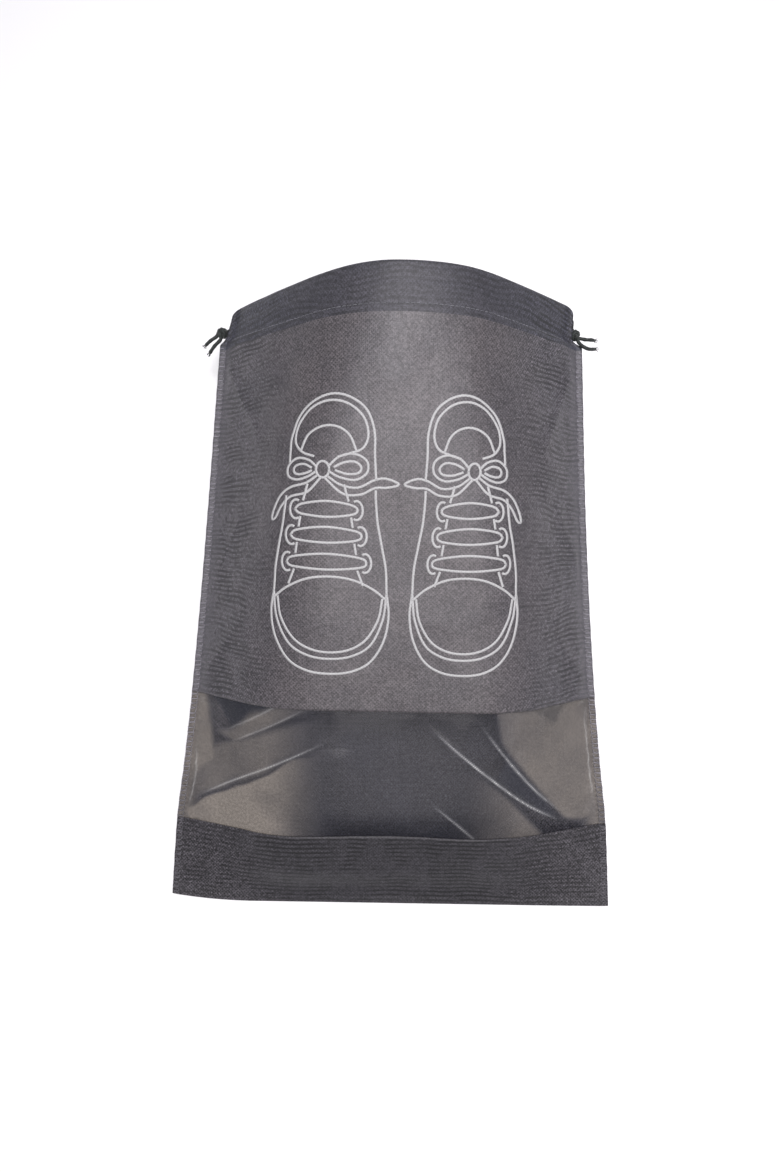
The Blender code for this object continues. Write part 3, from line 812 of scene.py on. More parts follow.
class Nodes:
    """A small helper to write node trees in a few lines. Colours are (r, g, b)."""

    def __init__(self, name):
        self.material = bpy.data.materials.new(name)
        self.material.use_nodes = True
        self.tree = self.material.node_tree
        self.shader = self.tree.nodes["Principled BSDF"]

    def put(self, target, value):
        """Links a socket, or sets a number or a colour."""
        if isinstance(value, bpy.types.NodeSocket):
            self.tree.links.new(value, target)
        elif target.type == "RGBA":
            target.default_value = (*value, 1.0)
        else:
            target.default_value = value

    def add(self, kind, output, inputs=None, **settings):
        """A new node with its settings and inputs; returns one of its outputs."""
        node = self.tree.nodes.new(kind)
        for key, value in settings.items():
            setattr(node, key, value)
        for key, value in (inputs or {}).items():
            self.put(node.inputs[key], value)
        return node.outputs[output]

    def set(self, **values):
        """The shader's own sockets; Base_Color stands for Base Color."""
        for key, value in values.items():
            self.put(self.shader.inputs[key.replace("_", " ")], value)

    def component(self, vector, axis):
        return self.add("ShaderNodeSeparateXYZ", axis, {0: vector})

    def math(self, operation, a, b=0.0, clamp=False):
        return self.add("ShaderNodeMath", 0, {0: a, 1: b}, operation=operation, use_clamp=clamp)

    def times(self, a, b):
        return self.math("MULTIPLY", a, b)

    def uv(self):
        return self.add("ShaderNodeUVMap", "UV", uv_map="cloth")

    def position(self):
        return self.add("ShaderNodeTexCoord", "Object")

    def attribute(self, name):
        return self.add("ShaderNodeAttribute", "Fac", attribute_name=name)

    def noise(self, vector, scale, detail=2.0, roughness=0.5, distortion=0.0):
        return self.add("ShaderNodeTexNoise", "Fac", {
            "Vector": vector, "Scale": scale, "Detail": detail, "Roughness": roughness,
            "Distortion": distortion})

    def lines(self, vector, pitch, wander, reach):
        """Fine wavy lines across the cloth, one every pitch, that bend over the given reach."""
        scale = 2 * math.pi / (WAVE_UNIT * pitch)
        return self.add("ShaderNodeTexWave", "Fac", {
            "Vector": vector, "Scale": scale, "Distortion": wander, "Detail": LINE_DETAIL,
            "Detail Scale": 1.0 / (reach * scale)}, wave_type="BANDS", bands_direction="Y")

    def remap(self, value, low, high, to_low=0.0, to_high=1.0):
        """A smooth ramp from to_low at low to to_high at high."""
        return self.add("ShaderNodeMapRange", "Result", {
            "Value": value, "From Min": low, "From Max": high, "To Min": to_low,
            "To Max": to_high}, interpolation_type="SMOOTHSTEP")

    def mix(self, factor, a, b, blend="MIX"):
        return self.add("ShaderNodeMix", MIX_COLOUR_OUTPUT, {
            0: factor, MIX_COLOUR_A: a, MIX_COLOUR_B: b}, data_type="RGBA", blend_type=blend)

    def tint(self, factor, colour, tint):
        """The colour, multiplied by the tint as far as the factor says."""
        return self.mix(factor, colour, self.mix(1.0, colour, tint, "MULTIPLY"))

    def bump(self, height, distance, strength):
        normal = self.add("ShaderNodeBump", "Normal", {
            "Strength": strength, "Distance": distance, "Height": height})
        self.set(Normal=normal)

    def dots(self, pitch):
        """Embossed dots in a diagonal grid: 1 at the middle of a dot, 0 between dots."""
        turned = self.add("ShaderNodeMapping", "Vector", {
            "Vector": self.uv(), "Rotation": (0.0, 0.0, math.radians(45)),
            "Scale": (1.0 / pitch, 1.0 / pitch, 1.0)})
        cell = self.add("ShaderNodeVectorMath", "Vector", {0: turned}, operation="FRACTION")
        cell = self.add("ShaderNodeVectorMath", "Vector", {0: cell, 1: (0.5, 0.5, 0.0)},
                        operation="SUBTRACT")
        flat = self.add("ShaderNodeVectorMath", "Vector", {0: cell, 1: (1.0, 1.0, 0.0)},
                        operation="MULTIPLY")
        away = self.add("ShaderNodeVectorMath", "Value", {0: flat}, operation="LENGTH")
        return self.remap(away, DOT_EDGE, DOT_FLAT)


def fabric_material(name, light, dark, side_painted_light, hem_tint, wander, reach, line_levels, gloss):
    """Spun-bonded cloth: embossed dots, loose fibres, cloudy density and fine wavy lines.

    line_levels are the lines' strength in the middle, at the sides, and where the cloth's
    v is above 0, on top of that.
    """
    n = Nodes(name)
    uv = n.uv()
    dots = n.dots(DOT_PITCH)
    fibres, grain, mottle, cloud, patches = (
        n.noise(uv, *noise) for noise in (FIBRES, GRAIN, MOTTLE, DENSITY, PATCHES))
    lines = n.lines(uv, LINE_PITCH, wander, reach)
    v = n.component(uv, "Y")
    from_middle = n.math("ABSOLUTE", n.component(uv, "X"))
    from_bottom = n.math("ABSOLUTE", v)
    side = n.remap(from_middle, SIDE_START, SIDE_FULL)
    hem = n.remap(from_bottom, HEM_RAW_EDGE - HEM_EDGE_SOFT[0], HEM_RAW_EDGE + HEM_EDGE_SOFT[1])
    # Density and grain, dark between the fibres and bright on them
    bright = tuple(min(1.0, BRIGHTER * c) for c in light)
    deep = tuple(DEEPER * c for c in dark)
    colour = n.mix(n.remap(cloud, 0.32, 0.68), dark, light)
    colour = n.mix(n.remap(mottle, 0.44, 0.64, 0.0, 0.22), colour, deep)
    contrast = n.remap(side, 0.0, 1.0, *CONTRAST)
    colour = n.mix(n.times(n.remap(grain, 0.46, 0.56), contrast), colour, deep)
    colour = n.mix(n.times(n.remap(fibres, 0.50, 0.60), contrast), colour, bright)
    colour = n.mix(n.times(dots, contrast), colour, deep)
    # Wavy lines, in patches
    where = n.math("MAXIMUM", side, n.times(hem, HEM_LINES))
    lined = n.times(n.remap(lines, 0.35, 0.80), n.remap(patches, 0.38, 0.60, 0.25, 1.0))
    lined = n.times(lined, n.remap(where, 0.0, 1.0, *line_levels[:2]))
    lined = n.times(lined, n.remap(v, -0.004, 0.004, 1.0, line_levels[2]))
    colour = n.mix(lined, colour, deep)
    # Painted light on the sides, seam fluff above the window that partly paints light over the
    # seam's shaded fold, and the doubled hem
    colour = n.tint(side, colour, side_painted_light)
    # Seam fluff, partly painted light over the seam's shaded fold
    seam = n.remap(from_middle, SEAM_FLUFF_AND_LIGHT_START, SEAM_FLUFF_AND_LIGHT_FULL, 0.0, SEAM_FLUFF_AND_LIGHT_STRENGTH)
    seam = n.times(seam, n.remap(from_bottom, *SEAM_FLUFF_AND_LIGHT_TOP))
    seam = n.times(seam, n.remap(from_bottom, BAND_TOP, PANEL_BOTTOM))
    colour = n.tint(hem, n.mix(seam, colour, SEAM_FLUFF_AND_LIGHT), hem_tint)
    rough = n.math("SUBTRACT", n.remap(grain, 0.3, 0.7, 0.50, 0.53), n.times(dots, 0.05))
    rough = n.math("ADD", rough, n.times(hem, 0.10))
    height = n.math("SUBTRACT", n.times(fibres, 0.6), n.times(dots, 0.75))
    n.bump(n.math("ADD", height, n.times(grain, 0.8)), 0.00005, 0.9)
    n.set(Base_Color=colour, Roughness=rough, Sheen_Weight=0.04, Sheen_Roughness=0.45,
          Specular_IOR_Level=gloss)
    return n.material


FILM_CLEAR = ((0.04, 0.045, 0.065), (0.06, 0.065, 0.09))
# Haze near the seams, and the brownish painted reflection in the film's facets
FILM_HAZE_AND_REFLECTION = ((0.235, 0.209, 0.184), (0.315, 0.281, 0.248))
FILM_SHADED = (0.020, 0.020, 0.024)
# Whitened creases: stress whitening and a painted highlight
FILM_WHITENED_AND_HIGHLIGHT = (0.85, 0.85, 0.84)
FILM_CLEAR_ALPHA = (0.05, 0.10)
# How much opaqueness each attribute adds
HAZE_AND_REFLECTION_ALPHA = 0.50
SHADE_ALPHA = 0.70
WHITENING_AND_HIGHLIGHT_ALPHA = 0.60
FILM_ROUGHNESS = (0.162, 0.168)


def film_material():
    """Clear soft plastic: a painted reflection in facets, hazy near the seams, painted shade in
    some facets, and whitened along its creases, where part of the white is a painted highlight.
    """
    n = Nodes("film_clear")
    uv = n.uv()
    cloud = n.noise(uv, 16.0, 2.0, 0.5, 0.4)
    streak = n.noise(uv, 420.0)
    weave = n.noise(uv, 520.0, 2.0, 0.6)
    stress, haze, shade = (n.attribute(name) for name in FILM_ATTRIBUTES)
    clear = n.mix(n.remap(cloud, 0.35, 0.65), *FILM_CLEAR)
    # Haze near the seams and the painted reflection in the facets
    colour = n.mix(haze, clear, n.mix(n.remap(weave, 0.35, 0.65), *FILM_HAZE_AND_REFLECTION))
    # Painted shade in some facets, and crease whitening with a painted highlight
    colour = n.mix(stress, n.mix(shade, colour, FILM_SHADED), FILM_WHITENED_AND_HIGHLIGHT)
    alpha = n.remap(cloud, 0.30, 0.70, *FILM_CLEAR_ALPHA)
    alpha = n.math("ADD", alpha, n.times(haze, HAZE_AND_REFLECTION_ALPHA))
    alpha = n.math("ADD", alpha, n.times(shade, SHADE_ALPHA))
    alpha = n.math("ADD", alpha, n.times(stress, WHITENING_AND_HIGHLIGHT_ALPHA), clamp=True)
    n.bump(n.noise(uv, 70.0, 0.0, 0.5, 0.3), 0.00040, 0.25)
    n.set(Base_Color=colour, Alpha=alpha, Roughness=n.remap(streak, 0.3, 0.7, *FILM_ROUGHNESS),
          IOR=1.5, Coat_Weight=0.0)
    return n.material


# The colour that the thread turns towards at the bottom of the bag, and the Y range of the change
BOTTOM_DARK_COLOUR = (0.035, 0.034, 0.038)
BOTTOM_DARK_Y = (-0.175, -0.110)


def thread_material(name, light, dark, twist, bottom_darkening=0.0):
    """Spun thread: fine plies and cloudy colour, and darker towards the bottom of the bag."""
    n = Nodes(name)
    place = n.position()
    grain = n.noise(place, 3800.0, 2.0, 0.6)
    cloud = n.noise(place, 260.0)
    colour = n.mix(n.remap(cloud, 0.35, 0.65), dark, light)
    colour = n.mix(n.remap(grain, 0.35, 0.70, 0.0, 0.5), colour, light)
    # Darker towards the bottom of the bag
    bottom_share = n.remap(n.component(place, "Y"), *BOTTOM_DARK_Y, bottom_darkening, 0.0)
    colour = n.mix(bottom_share, colour, BOTTOM_DARK_COLOUR)
    n.bump(grain, twist, 0.8)
    n.set(Base_Color=colour, Roughness=n.remap(grain, 0.3, 0.7, 0.50, 0.72), Sheen_Weight=0.25,
          Sheen_Roughness=0.4)
    return n.material


def ink_material():
    """Screen-printed ink: thin over the embossed dots, slightly uneven."""
    n = Nodes("print_ink")
    dots = n.dots(DOT_PITCH)
    grain = n.noise(n.uv(), 900.0, 3.0, 0.65)
    colour = n.mix(n.remap(grain, 0.35, 0.75), (0.47, 0.47, 0.47), (0.37, 0.365, 0.37))
    colour = n.mix(n.times(dots, 0.35), colour, (0.28, 0.275, 0.28))
    n.bump(n.math("SUBTRACT", grain, dots), 0.00012, 0.6)
    n.set(Base_Color=colour, Roughness=n.remap(grain, 0.3, 0.7, 0.50, 0.65),
          Specular_IOR_Level=0.4)
    return n.material


def floor_material():
    """Matt near-white paper."""
    n = Nodes("studio_floor")
    tone = n.noise(n.position(), 3.0)
    n.set(Base_Color=n.mix(tone, (0.90, 0.90, 0.90), (0.93, 0.93, 0.93)), Roughness=0.9,
          Specular_IOR_Level=0.0)
    return n.material


MATERIALS = {slot: fabric_material(f"{slot}_cloth", **look) for slot, look in CLOTH_LOOKS.items()}
MATERIALS.update({
    "film": film_material(),
    "overlock_thread": thread_material("overlock_thread_spun", (0.25, 0.24, 0.27),
                                       (0.15, 0.145, 0.17), 0.00010, 0.65),
    "hem_thread": thread_material("hem_thread_spun", (0.17, 0.17, 0.19), (0.08, 0.08, 0.09),
                                  0.00008),
    "cord": thread_material("cord_braid", (0.015, 0.020, 0.018), (0.005, 0.007, 0.006), 0.00015),
    "ink": ink_material(),
})


# ---------------------------------------------------------------- camera, light and floor
def make_camera():
    camera_data = bpy.data.cameras.new("camera")
    camera_data.lens = CAMERA_LENS
    camera_data.clip_start = CLIP_START
    camera = add_to_scene("camera", camera_data)
    away = np.array([0.0, -math.sin(CAMERA_TILT), math.cos(CAMERA_TILT)]) * CAMERA_DISTANCE
    turn = Matrix.Rotation(CAMERA_TILT, 4, "X") @ Matrix.Rotation(CAMERA_ROLL, 4, "Z")
    camera.matrix_world = Matrix.Translation(np.array(CAMERA_TARGET) + away) @ turn
    bpy.context.scene.camera = camera


def make_lights():
    world = bpy.data.worlds.new("studio")
    world.use_nodes = True
    background = world.node_tree.nodes["Background"]
    background.inputs["Color"].default_value = WORLD_COLOUR
    background.inputs["Strength"].default_value = WORLD_STRENGTH
    bpy.context.scene.world = world
    for name, place, size, power, colour in LIGHTS:
        light_data = bpy.data.lights.new(name, "AREA")
        light_data.shape = "ELLIPSE"
        light_data.size, light_data.size_y = size
        light_data.energy = power
        light_data.color = colour
        light = add_to_scene(name, light_data)
        light.location = place
        light.rotation_euler = (-Vector(place).normalized()).to_track_quat("-Z", "Y").to_euler()


def make_floor():
    corners = [(x * FLOOR_HALF, y * FLOOR_HALF, FLOOR_Z)
               for x, y in ((-1, -1), (1, -1), (1, 1), (-1, 1))]
    floor = new_object("floor", mesh_from("floor", corners, [(0, 1, 2, 3)]), floor_material())


def make_stage():
    """Camera, lights and floor, and colours shown as they are."""
    make_camera()
    make_lights()
    make_floor()
    bpy.context.scene.view_settings.view_transform = "Standard"
    bpy.context.scene.view_settings.look = "None"


make_stage()


# ---------------------------------------------------------------- cords
CORD_STEP = 0.00035
CORD_AROUND = 20
BRAID_STRANDS = 4
BRAID_PITCH = 0.0052
BRAID_RELIEF = 0.09
BRAID_BIAS = 0.3
BRAID_FULLNESS = 1.04
BRAID_END_SHARE = 0.02
KNOT_WRAP_RADIUS = 0.0030
KNOT_WRAPS = 1.85
KNOT_POLE = math.radians(25)
KNOT_TILT = 0.55
KNOT_CORE_RADIUS = 0.0024
KNOT_CORE_ROWS = 9
KNOT_CORE_AROUND = 14
KNOT_STEPS = 30
KNOT_PHASE = 0.6
YARNS = 5
YARN_DIAMETER = 0.0006
YARN_LENGTH = 0.0019
YARN_STEP = 0.0003
YARN_TURN = 0.2
YARN_LENGTHS = (0.7, 1.2)
# Where a yarn starts inside the cord, and how far it spreads half way and at its tip
YARN_ROOT = 0.0008
YARN_ROOT_SPREAD = 0.0005
YARN_EXIT_SPREAD = 0.0007
YARN_HALF_SPREAD = (0.0008, 0.0012)
YARN_TIP_SPREAD = (0.0009, 0.0018)
THREAD_AROUND = 6
# The free end's way inside its channel, as shares of the half width
CHANNEL_PLACES = (0.930, 0.970, 1.0)
# The tails' ways from the knot's middle, front one first
TAIL_WAYS = {
    "left": (((-0.0042, -0.0030, 0.0006), (-0.0080, -0.0060, 0.0006), (-0.0106, -0.0078, -0.0002),
              (-0.0130, -0.0094, -0.0016)),
             ((-0.0014, -0.0050, -0.0004), (-0.0052, -0.0090, -0.0010), (-0.0080, -0.0118, -0.0024),
              (-0.0106, -0.0144, -0.0044))),
    "right": (((0.0040, -0.0028, 0.0008), (0.0080, -0.0038, 0.0012), (0.0118, -0.0034, 0.0004),
               (0.0152, -0.0032, -0.0008)),
              ((0.0022, -0.0054, 0.0014), (0.0050, -0.0092, 0.0020), (0.0104, -0.0108, 0.0006),
               (0.0168, -0.0088, -0.0030))),
}


def braid_radius(angle, along, total):
    """The radius of the braid: small knobs in diamonds, and a rounded last end."""
    turned = along / BRAID_PITCH * 2 * math.pi
    knobs = 0.5 * (np.cos(angle * BRAID_STRANDS + turned) + np.cos(angle * BRAID_STRANDS - turned))
    radius = CORD_DIAMETER / 2 * (BRAID_FULLNESS + BRAID_RELIEF * (knobs - BRAID_BIAS))
    left = np.clip((total - along) / (CORD_DIAMETER / 2), 0.0, 1.0)
    return radius * np.sqrt(np.clip(1.0 - (1.0 - left) ** 2, BRAID_END_SHARE, 1.0))


def knot_centre(knot):
    """Level with the seam, just outside the ends of the hems."""
    v = knot["along"]
    x = knot["side"] * (profile(HALF_WIDTH, v) + knot["beyond_edge"])
    hand = hand_of(knot["side"])
    y = np.interp(v, *SEAM_FORWARD[hand]) + Y_SHIFT
    return np.array([float(x), float(y), float(profile(SEAM_HEIGHT[hand], v))])


def unit(vector):
    vector = np.array(vector, float)
    return vector / np.linalg.norm(vector)


def knot_turns(centre, axis, phase):
    """One cord of the knot, wound over its ball from one pole to the other."""
    first = unit(np.cross(axis, (0.0, 0.0, 1.0)))
    second = np.cross(axis, first)
    points = []
    for i in range(KNOT_STEPS + 1):
        share = i / KNOT_STEPS
        polar = KNOT_POLE + (math.pi - 2 * KNOT_POLE) * share
        angle = phase + share * KNOT_WRAPS * 2 * math.pi
        ring = first * math.cos(angle) + second * math.sin(angle)
        offset = ring * math.sin(polar) - axis * math.cos(polar)
        points.append(centre + offset * KNOT_WRAP_RADIUS)
    return points


def frayed_end(end, direction, seed_step):
    """The cord's yarns, loose and spread beyond its cut end."""
    rng = np.random.default_rng(SEED + seed_step)
    side = unit(np.cross(direction, (0.0, 0.0, 1.0)))
    up = np.cross(side, direction)
    parts = []
    for i in range(YARNS):
        angle = (i + rng.uniform(-YARN_TURN, YARN_TURN)) / YARNS * 2 * math.pi
        away = side * math.cos(angle) + up * math.sin(angle)
        length = YARN_LENGTH * rng.uniform(*YARN_LENGTHS)
        route = [end - direction * YARN_ROOT + away * YARN_ROOT_SPREAD,
                 end + away * YARN_EXIT_SPREAD,
                 end + direction * length * 0.5 + away * rng.uniform(*YARN_HALF_SPREAD),
                 end + direction * length + away * rng.uniform(*YARN_TIP_SPREAD)]
        parts.append(tube_parts(smooth_route(route, YARN_STEP), YARN_DIAMETER / 2, THREAD_AROUND))
    return parts


def make_free_end(hand, side, way, phase, fray_seed):
    """One cord end: out of its channel, through the knot and on as a tail with a frayed end."""
    knot = KNOTS[hand]
    centre = knot_centre(knot)
    edge = knot["side"]
    channel = [layer(side, edge * place, knot["cord_v"], CORD_DEPTH) for place in CHANNEL_PLACES]
    mouth = channel[-1]
    tail = [centre + np.array(point) for point in way]
    axis = unit(unit(tail[0] - centre) + unit(centre - mouth) + np.array([0.0, 0.0, KNOT_TILT]))
    route = channel + knot_turns(centre, axis, phase) + tail
    path = even_route(smooth_route(route, CORD_STEP), CORD_STEP)
    name = f"{hand}_cord_end_{side}"
    body = f"{hand}_pull"
    obj = mesh_object(name, tube_parts(path, braid_radius, CORD_AROUND), "cord")
    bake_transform(obj)
    yarns = frayed_end(path[-1], unit(path[-1] - path[-4]), fray_seed)
    fray = mesh_object(f"{name}_fray", join_parts(yarns), "cord")
    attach(fray, body)
    return obj


def make_knot_core(hand):
    """What is left of the knot inside its wraps: a small ball of cord."""
    centre = knot_centre(KNOTS[hand])
    vertices = []
    for i in range(KNOT_CORE_ROWS):
        polar = math.pi * (i + 0.5) / KNOT_CORE_ROWS
        for k in range(KNOT_CORE_AROUND):
            angle = 2 * math.pi * k / KNOT_CORE_AROUND
            vertices.append(centre + KNOT_CORE_RADIUS * np.array(
                [math.sin(polar) * math.cos(angle), math.sin(polar) * math.sin(angle),
                 math.cos(polar)]))
    faces = grid_faces(KNOT_CORE_ROWS, KNOT_CORE_AROUND, close_across=True)
    faces += end_faces(KNOT_CORE_ROWS, KNOT_CORE_AROUND)
    obj = mesh_object(f"{hand}_knot_core", (vertices, faces, None), "cord")
    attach(obj, f"{hand}_pull")


def make_free_ends():
    for i, hand in enumerate(KNOTS):
        front_way, back_way = TAIL_WAYS[hand]
        front = make_free_end(hand, "front", front_way, KNOT_PHASE, 30 + i)
        back = make_free_end(hand, "back", back_way, KNOT_PHASE + math.pi, 32 + i)
        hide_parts(f"{hand}_knot", f"{hand}_strand_front", f"{hand}_tail_front")
        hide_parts(f"{hand}_strand_back", f"{hand}_tail_back")
        make_knot_core(hand)


make_free_ends()


DRAWSTRING_START = 0.935
DRAWSTRING_PLACES = 150
DRAWSTRING_TURN_PLACES = 14
DRAWSTRING_STEP = 0.0011
DRAWSTRING_AROUND = 12


def make_drawstring(hand):
    """The cord inside the hems, from its free end round the far end and back."""
    side_sign = KNOTS[hand]["side"]
    cord_v = KNOTS[hand]["cord_v"]
    far = -side_sign * (1.0 - CORD_TURN_INSET / FLAT_HALF_WIDTH)
    places = np.linspace(side_sign * DRAWSTRING_START, far, DRAWSTRING_PLACES)
    front = layer("front", places, cord_v, CORD_DEPTH)
    back = layer("back", places[::-1], cord_v, CORD_DEPTH)
    middle = (front[-1] + back[0]) / 2
    arm = (front[-1] - back[0]) / 2
    outward = np.array([-side_sign, 0.0, 0.0]) * np.linalg.norm(arm)
    angles = np.linspace(0.0, math.pi, DRAWSTRING_TURN_PLACES)[1:-1]
    turn = [middle + arm * math.cos(a) + outward * math.sin(a) for a in angles]
    path = even_route(np.concatenate([front, turn, back]), DRAWSTRING_STEP)
    parts = tube_parts(path, CORD_DIAMETER / 2, DRAWSTRING_AROUND)
    add_root_piece(f"{hand}_drawstring_cord", parts, "cord", f"{hand}_drawstring")


make_drawstring("left")
make_drawstring("right")


# ---------------------------------------------------------------- cloth panels
EDGE_CLOSENESS = 0.28
HEM_FOLD_STEPS = 12
BOTTOM_FOLD_STEPS = 10


def across(step):
    """Places across the cloth, closer near the seams."""
    count = round(2 * FLAT_HALF_WIDTH / step)
    even = np.linspace(-1.0, 1.0, count + 1)
    return (1.0 - EDGE_CLOSENESS) * even + EDGE_CLOSENESS * np.sin(even * math.pi / 2)


def along(start, end, step):
    return np.linspace(start, end, max(2, round(abs(end - start) / step) + 1))


def cloth_row(side, places, v, depth, cloth_v, share=1.0):
    """One row of points and its (s, t) on the flat cloth."""
    u = places * share
    uv = np.stack([u * FLAT_HALF_WIDTH, np.full(len(u), cloth_v)], axis=-1)
    return layer(side, u, v, depth), uv


def hem_rows(side, places, step):
    """The hem of one panel: over the mouth's fold, down inside and flat below the stitch."""
    rows = []
    radius = CHANNEL_DEPTH / 2
    for i in range(1, HEM_FOLD_STEPS + 1):
        angle = math.pi * i / HEM_FOLD_STEPS
        share = 1.0 - (1.0 - HEM_INNER_SHARE) * smooth_step(i / HEM_FOLD_STEPS)
        points, uv = cloth_row(side, places, FLAT_LENGTH, CORD_DEPTH - radius * math.cos(angle),
                               FLAT_LENGTH + radius * angle, share)
        outward = direction_along(side, places * share, FLAT_LENGTH)
        rows.append((points + outward * radius * math.sin(angle), uv))
    inner_depth = FABRIC_DEPTH + CHANNEL_DEPTH
    flat_depth = FABRIC_DEPTH + FABRIC + GAP
    turned = FLAT_LENGTH + radius * math.pi
    for v in along(FLAT_LENGTH - step, HEM_RAW_EDGE, step):
        opened = smooth_step((v - HEM_STITCH) / (CHANNEL_START - HEM_STITCH))
        depth = flat_depth + (inner_depth - flat_depth) * opened
        rows.append(cloth_row(side, places, v, depth, turned + FLAT_LENGTH - v, HEM_INNER_SHARE))
    return rows


def bottom_fold_rows(places):
    """The half turn of the cloth round the bottom edge, from front to back."""
    rows = []
    base = lookup(SURFACES["back"]["points"], places, 0.0)
    for i in range(BOTTOM_FOLD_STEPS + 1):
        angle = math.pi * i / BOTTOM_FOLD_STEPS
        offset = np.array([0.0, -FOLD_RADIUS * math.sin(angle), FOLD_RADIUS * math.cos(angle)])
        uv = np.stack([places * FLAT_HALF_WIDTH,
                       np.full(len(places), -FOLD_RADIUS * angle)], axis=-1)
        rows.append((base + offset, uv))
    return rows


def add_cloth(name, rows, thickness, slot, node):
    """A sheet of the bag that stands for a CAD node."""
    points, uv = (np.array(part) for part in zip(*rows))
    faces = grid_faces(*points.shape[:2])
    obj = add_root_piece(name, (points.reshape(-1, 3), faces, uv.reshape(-1, 2)), slot, node)
    solidify = obj.modifiers.new("Thickness", "SOLIDIFY")
    solidify.thickness = thickness
    solidify.offset = 0.0
    return obj


def make_front_panel():
    places = across(CLOTH_STEP)
    rows = [cloth_row("front", places, v, FABRIC_DEPTH, v)
            for v in along(PANEL_BOTTOM, FLAT_LENGTH, CLOTH_STEP)]
    rows += hem_rows("front", places, CLOTH_STEP)
    obj = add_cloth("front_panel_cloth", rows, FABRIC, "front_fabric", "front_panel")


def make_back_panel():
    places = across(BACK_STEP)
    rows = [cloth_row("front", places, v, FABRIC_DEPTH, -v)
            for v in along(BAND_TOP, BACK_STEP, BACK_STEP)]
    rows += bottom_fold_rows(places)
    rows += [cloth_row("back", places, v, FABRIC_DEPTH, v)
             for v in along(BACK_STEP, FLAT_LENGTH, BACK_STEP)]
    rows += hem_rows("back", places, BACK_STEP)
    obj = add_cloth("back_panel_cloth", rows, FABRIC, "back_fabric", "back_panel")


def make_film():
    """The window, welded behind the band below and the upper panel above."""
    places = across(FILM_STEP)
    s = places * FLAT_HALF_WIDTH
    rows = []
    looks = {name: [] for name in FILM_ATTRIBUTES}
    for value in along(BAND_TOP - WELD_OVERLAP, PANEL_BOTTOM + WELD_OVERLAP, FILM_STEP):
        v = np.full(len(s), value)
        rows.append(cloth_row("front", places, v, film_fold_depth(s, v), v))
        # Per point: crease whitening with a painted highlight, haze with a painted reflection, and
        # painted shade
        looks["stress"].append(film_whitening_and_highlight(s, v))
        looks["haze"].append(film_haze_and_reflection(s, v))
        looks["shade"].append(facet_level(s, v, FILM_SHADE))
    obj = add_cloth("window_film_sheet", rows, FILM, "film", "window_film")
    for name, values in looks.items():
        attribute = obj.data.attributes.new(name, "FLOAT", "POINT")
        attribute.data.foreach_set("value", np.concatenate(values).astype(np.float32))


make_back_panel()
make_front_panel()
make_film()


# ---------------------------------------------------------------- stitching
OVERLOCK_PITCH = 0.0036
OVERLOCK_NEEDLE = 0.0044
OVERLOCK_THREAD = 0.00046
OVERLOCK_START = 0.0020
OVERLOCK_STEP = 0.00055
OVERLOCK_JITTER = 0.00040
OVERLOCK_RISE = FOLD_RADIUS + FABRIC / 2 + OVERLOCK_THREAD * 0.55
OVERLOCK_OUT = -(OVERLOCK_THREAD * 0.6)
RIM_LIFT = 0.0002
# One loop: (inset from the edge, place along the seam, lift), the first three places jittered
OVERLOCK_LOOP = (
    (OVERLOCK_NEEDLE, 0.0, OVERLOCK_RISE),
    (OVERLOCK_NEEDLE * 0.5, 0.0002, OVERLOCK_RISE + 0.00006),
    (0.0002, 0.0003, OVERLOCK_RISE),
    (OVERLOCK_OUT, 0.0005, RIM_LIFT),
    (OVERLOCK_OUT * 2.8, OVERLOCK_PITCH * 0.46, RIM_LIFT),
    (OVERLOCK_OUT, OVERLOCK_PITCH * 0.74, RIM_LIFT),
    (0.0003, OVERLOCK_PITCH * 0.82, OVERLOCK_RISE),
    (OVERLOCK_NEEDLE * 0.62, OVERLOCK_PITCH * 0.92, OVERLOCK_RISE),
)
# One needle stitch: (share of the pitch, share of the rise)
NEEDLE_STITCH = ((0.0, 0.0), (0.2, 0.95), (0.4, 0.95), (0.6, 0.0), (0.8, -0.2))
NEEDLE_STEP = 0.0005
STITCH_LENGTH = 0.0030
STITCH_GAP = 0.0007
STITCH_THREAD = 0.00046
STITCH_PLACES = 7
STITCH_SINK = 0.0003
STITCH_LINE_SHARE = 0.985


def seam_point(edge, inset, v, lift):
    """A point on the seam: inset from its edge, lift above (or below) its middle."""
    u = edge * (1.0 - np.asarray(inset) / FLAT_HALF_WIDTH)
    return layer("back", u, v, lift)


def loop_jitter(rng):
    """The jitter of one loop's points: of the inset of the first, and the places of two more."""
    jitter = rng.uniform(-OVERLOCK_JITTER, OVERLOCK_JITTER, 3)
    moves = np.zeros((len(OVERLOCK_LOOP), 2))
    moves[0, 0] = jitter[0]
    moves[1, 1] = jitter[1]
    moves[2, 1] = jitter[2]
    return moves


def make_overlock(hand, edge, seed_step):
    """Three threads: loops over the top and the bottom, and a needle line through the cloth."""
    rng = np.random.default_rng(SEED + seed_step)
    starts = np.arange(OVERLOCK_START, SEAM_END[hand] - OVERLOCK_PITCH, OVERLOCK_PITCH)
    parts = []
    for face in (1.0, -1.0):
        route = [seam_point(edge, inset + move[0], v + along_seam + move[1], face * lift)
                 for v in starts
                 for (inset, along_seam, lift), move in zip(OVERLOCK_LOOP, loop_jitter(rng))]
        path = smooth_route(route, OVERLOCK_STEP)
        parts.append(tube_parts(path, OVERLOCK_THREAD / 2, THREAD_AROUND))
    needle = [seam_point(edge, OVERLOCK_NEEDLE, v + share * OVERLOCK_PITCH, OVERLOCK_RISE * lift)
              for v in starts for share, lift in NEEDLE_STITCH]
    path = smooth_route(needle, NEEDLE_STEP)
    parts.append(tube_parts(path, OVERLOCK_THREAD / 2, THREAD_AROUND))
    add_root_piece(f"{hand}_overlock_thread", join_parts(parts), "overlock_thread",
                   f"{hand}_overlock")


make_overlock("left", -1.0, 20)
make_overlock("right", 1.0, 21)


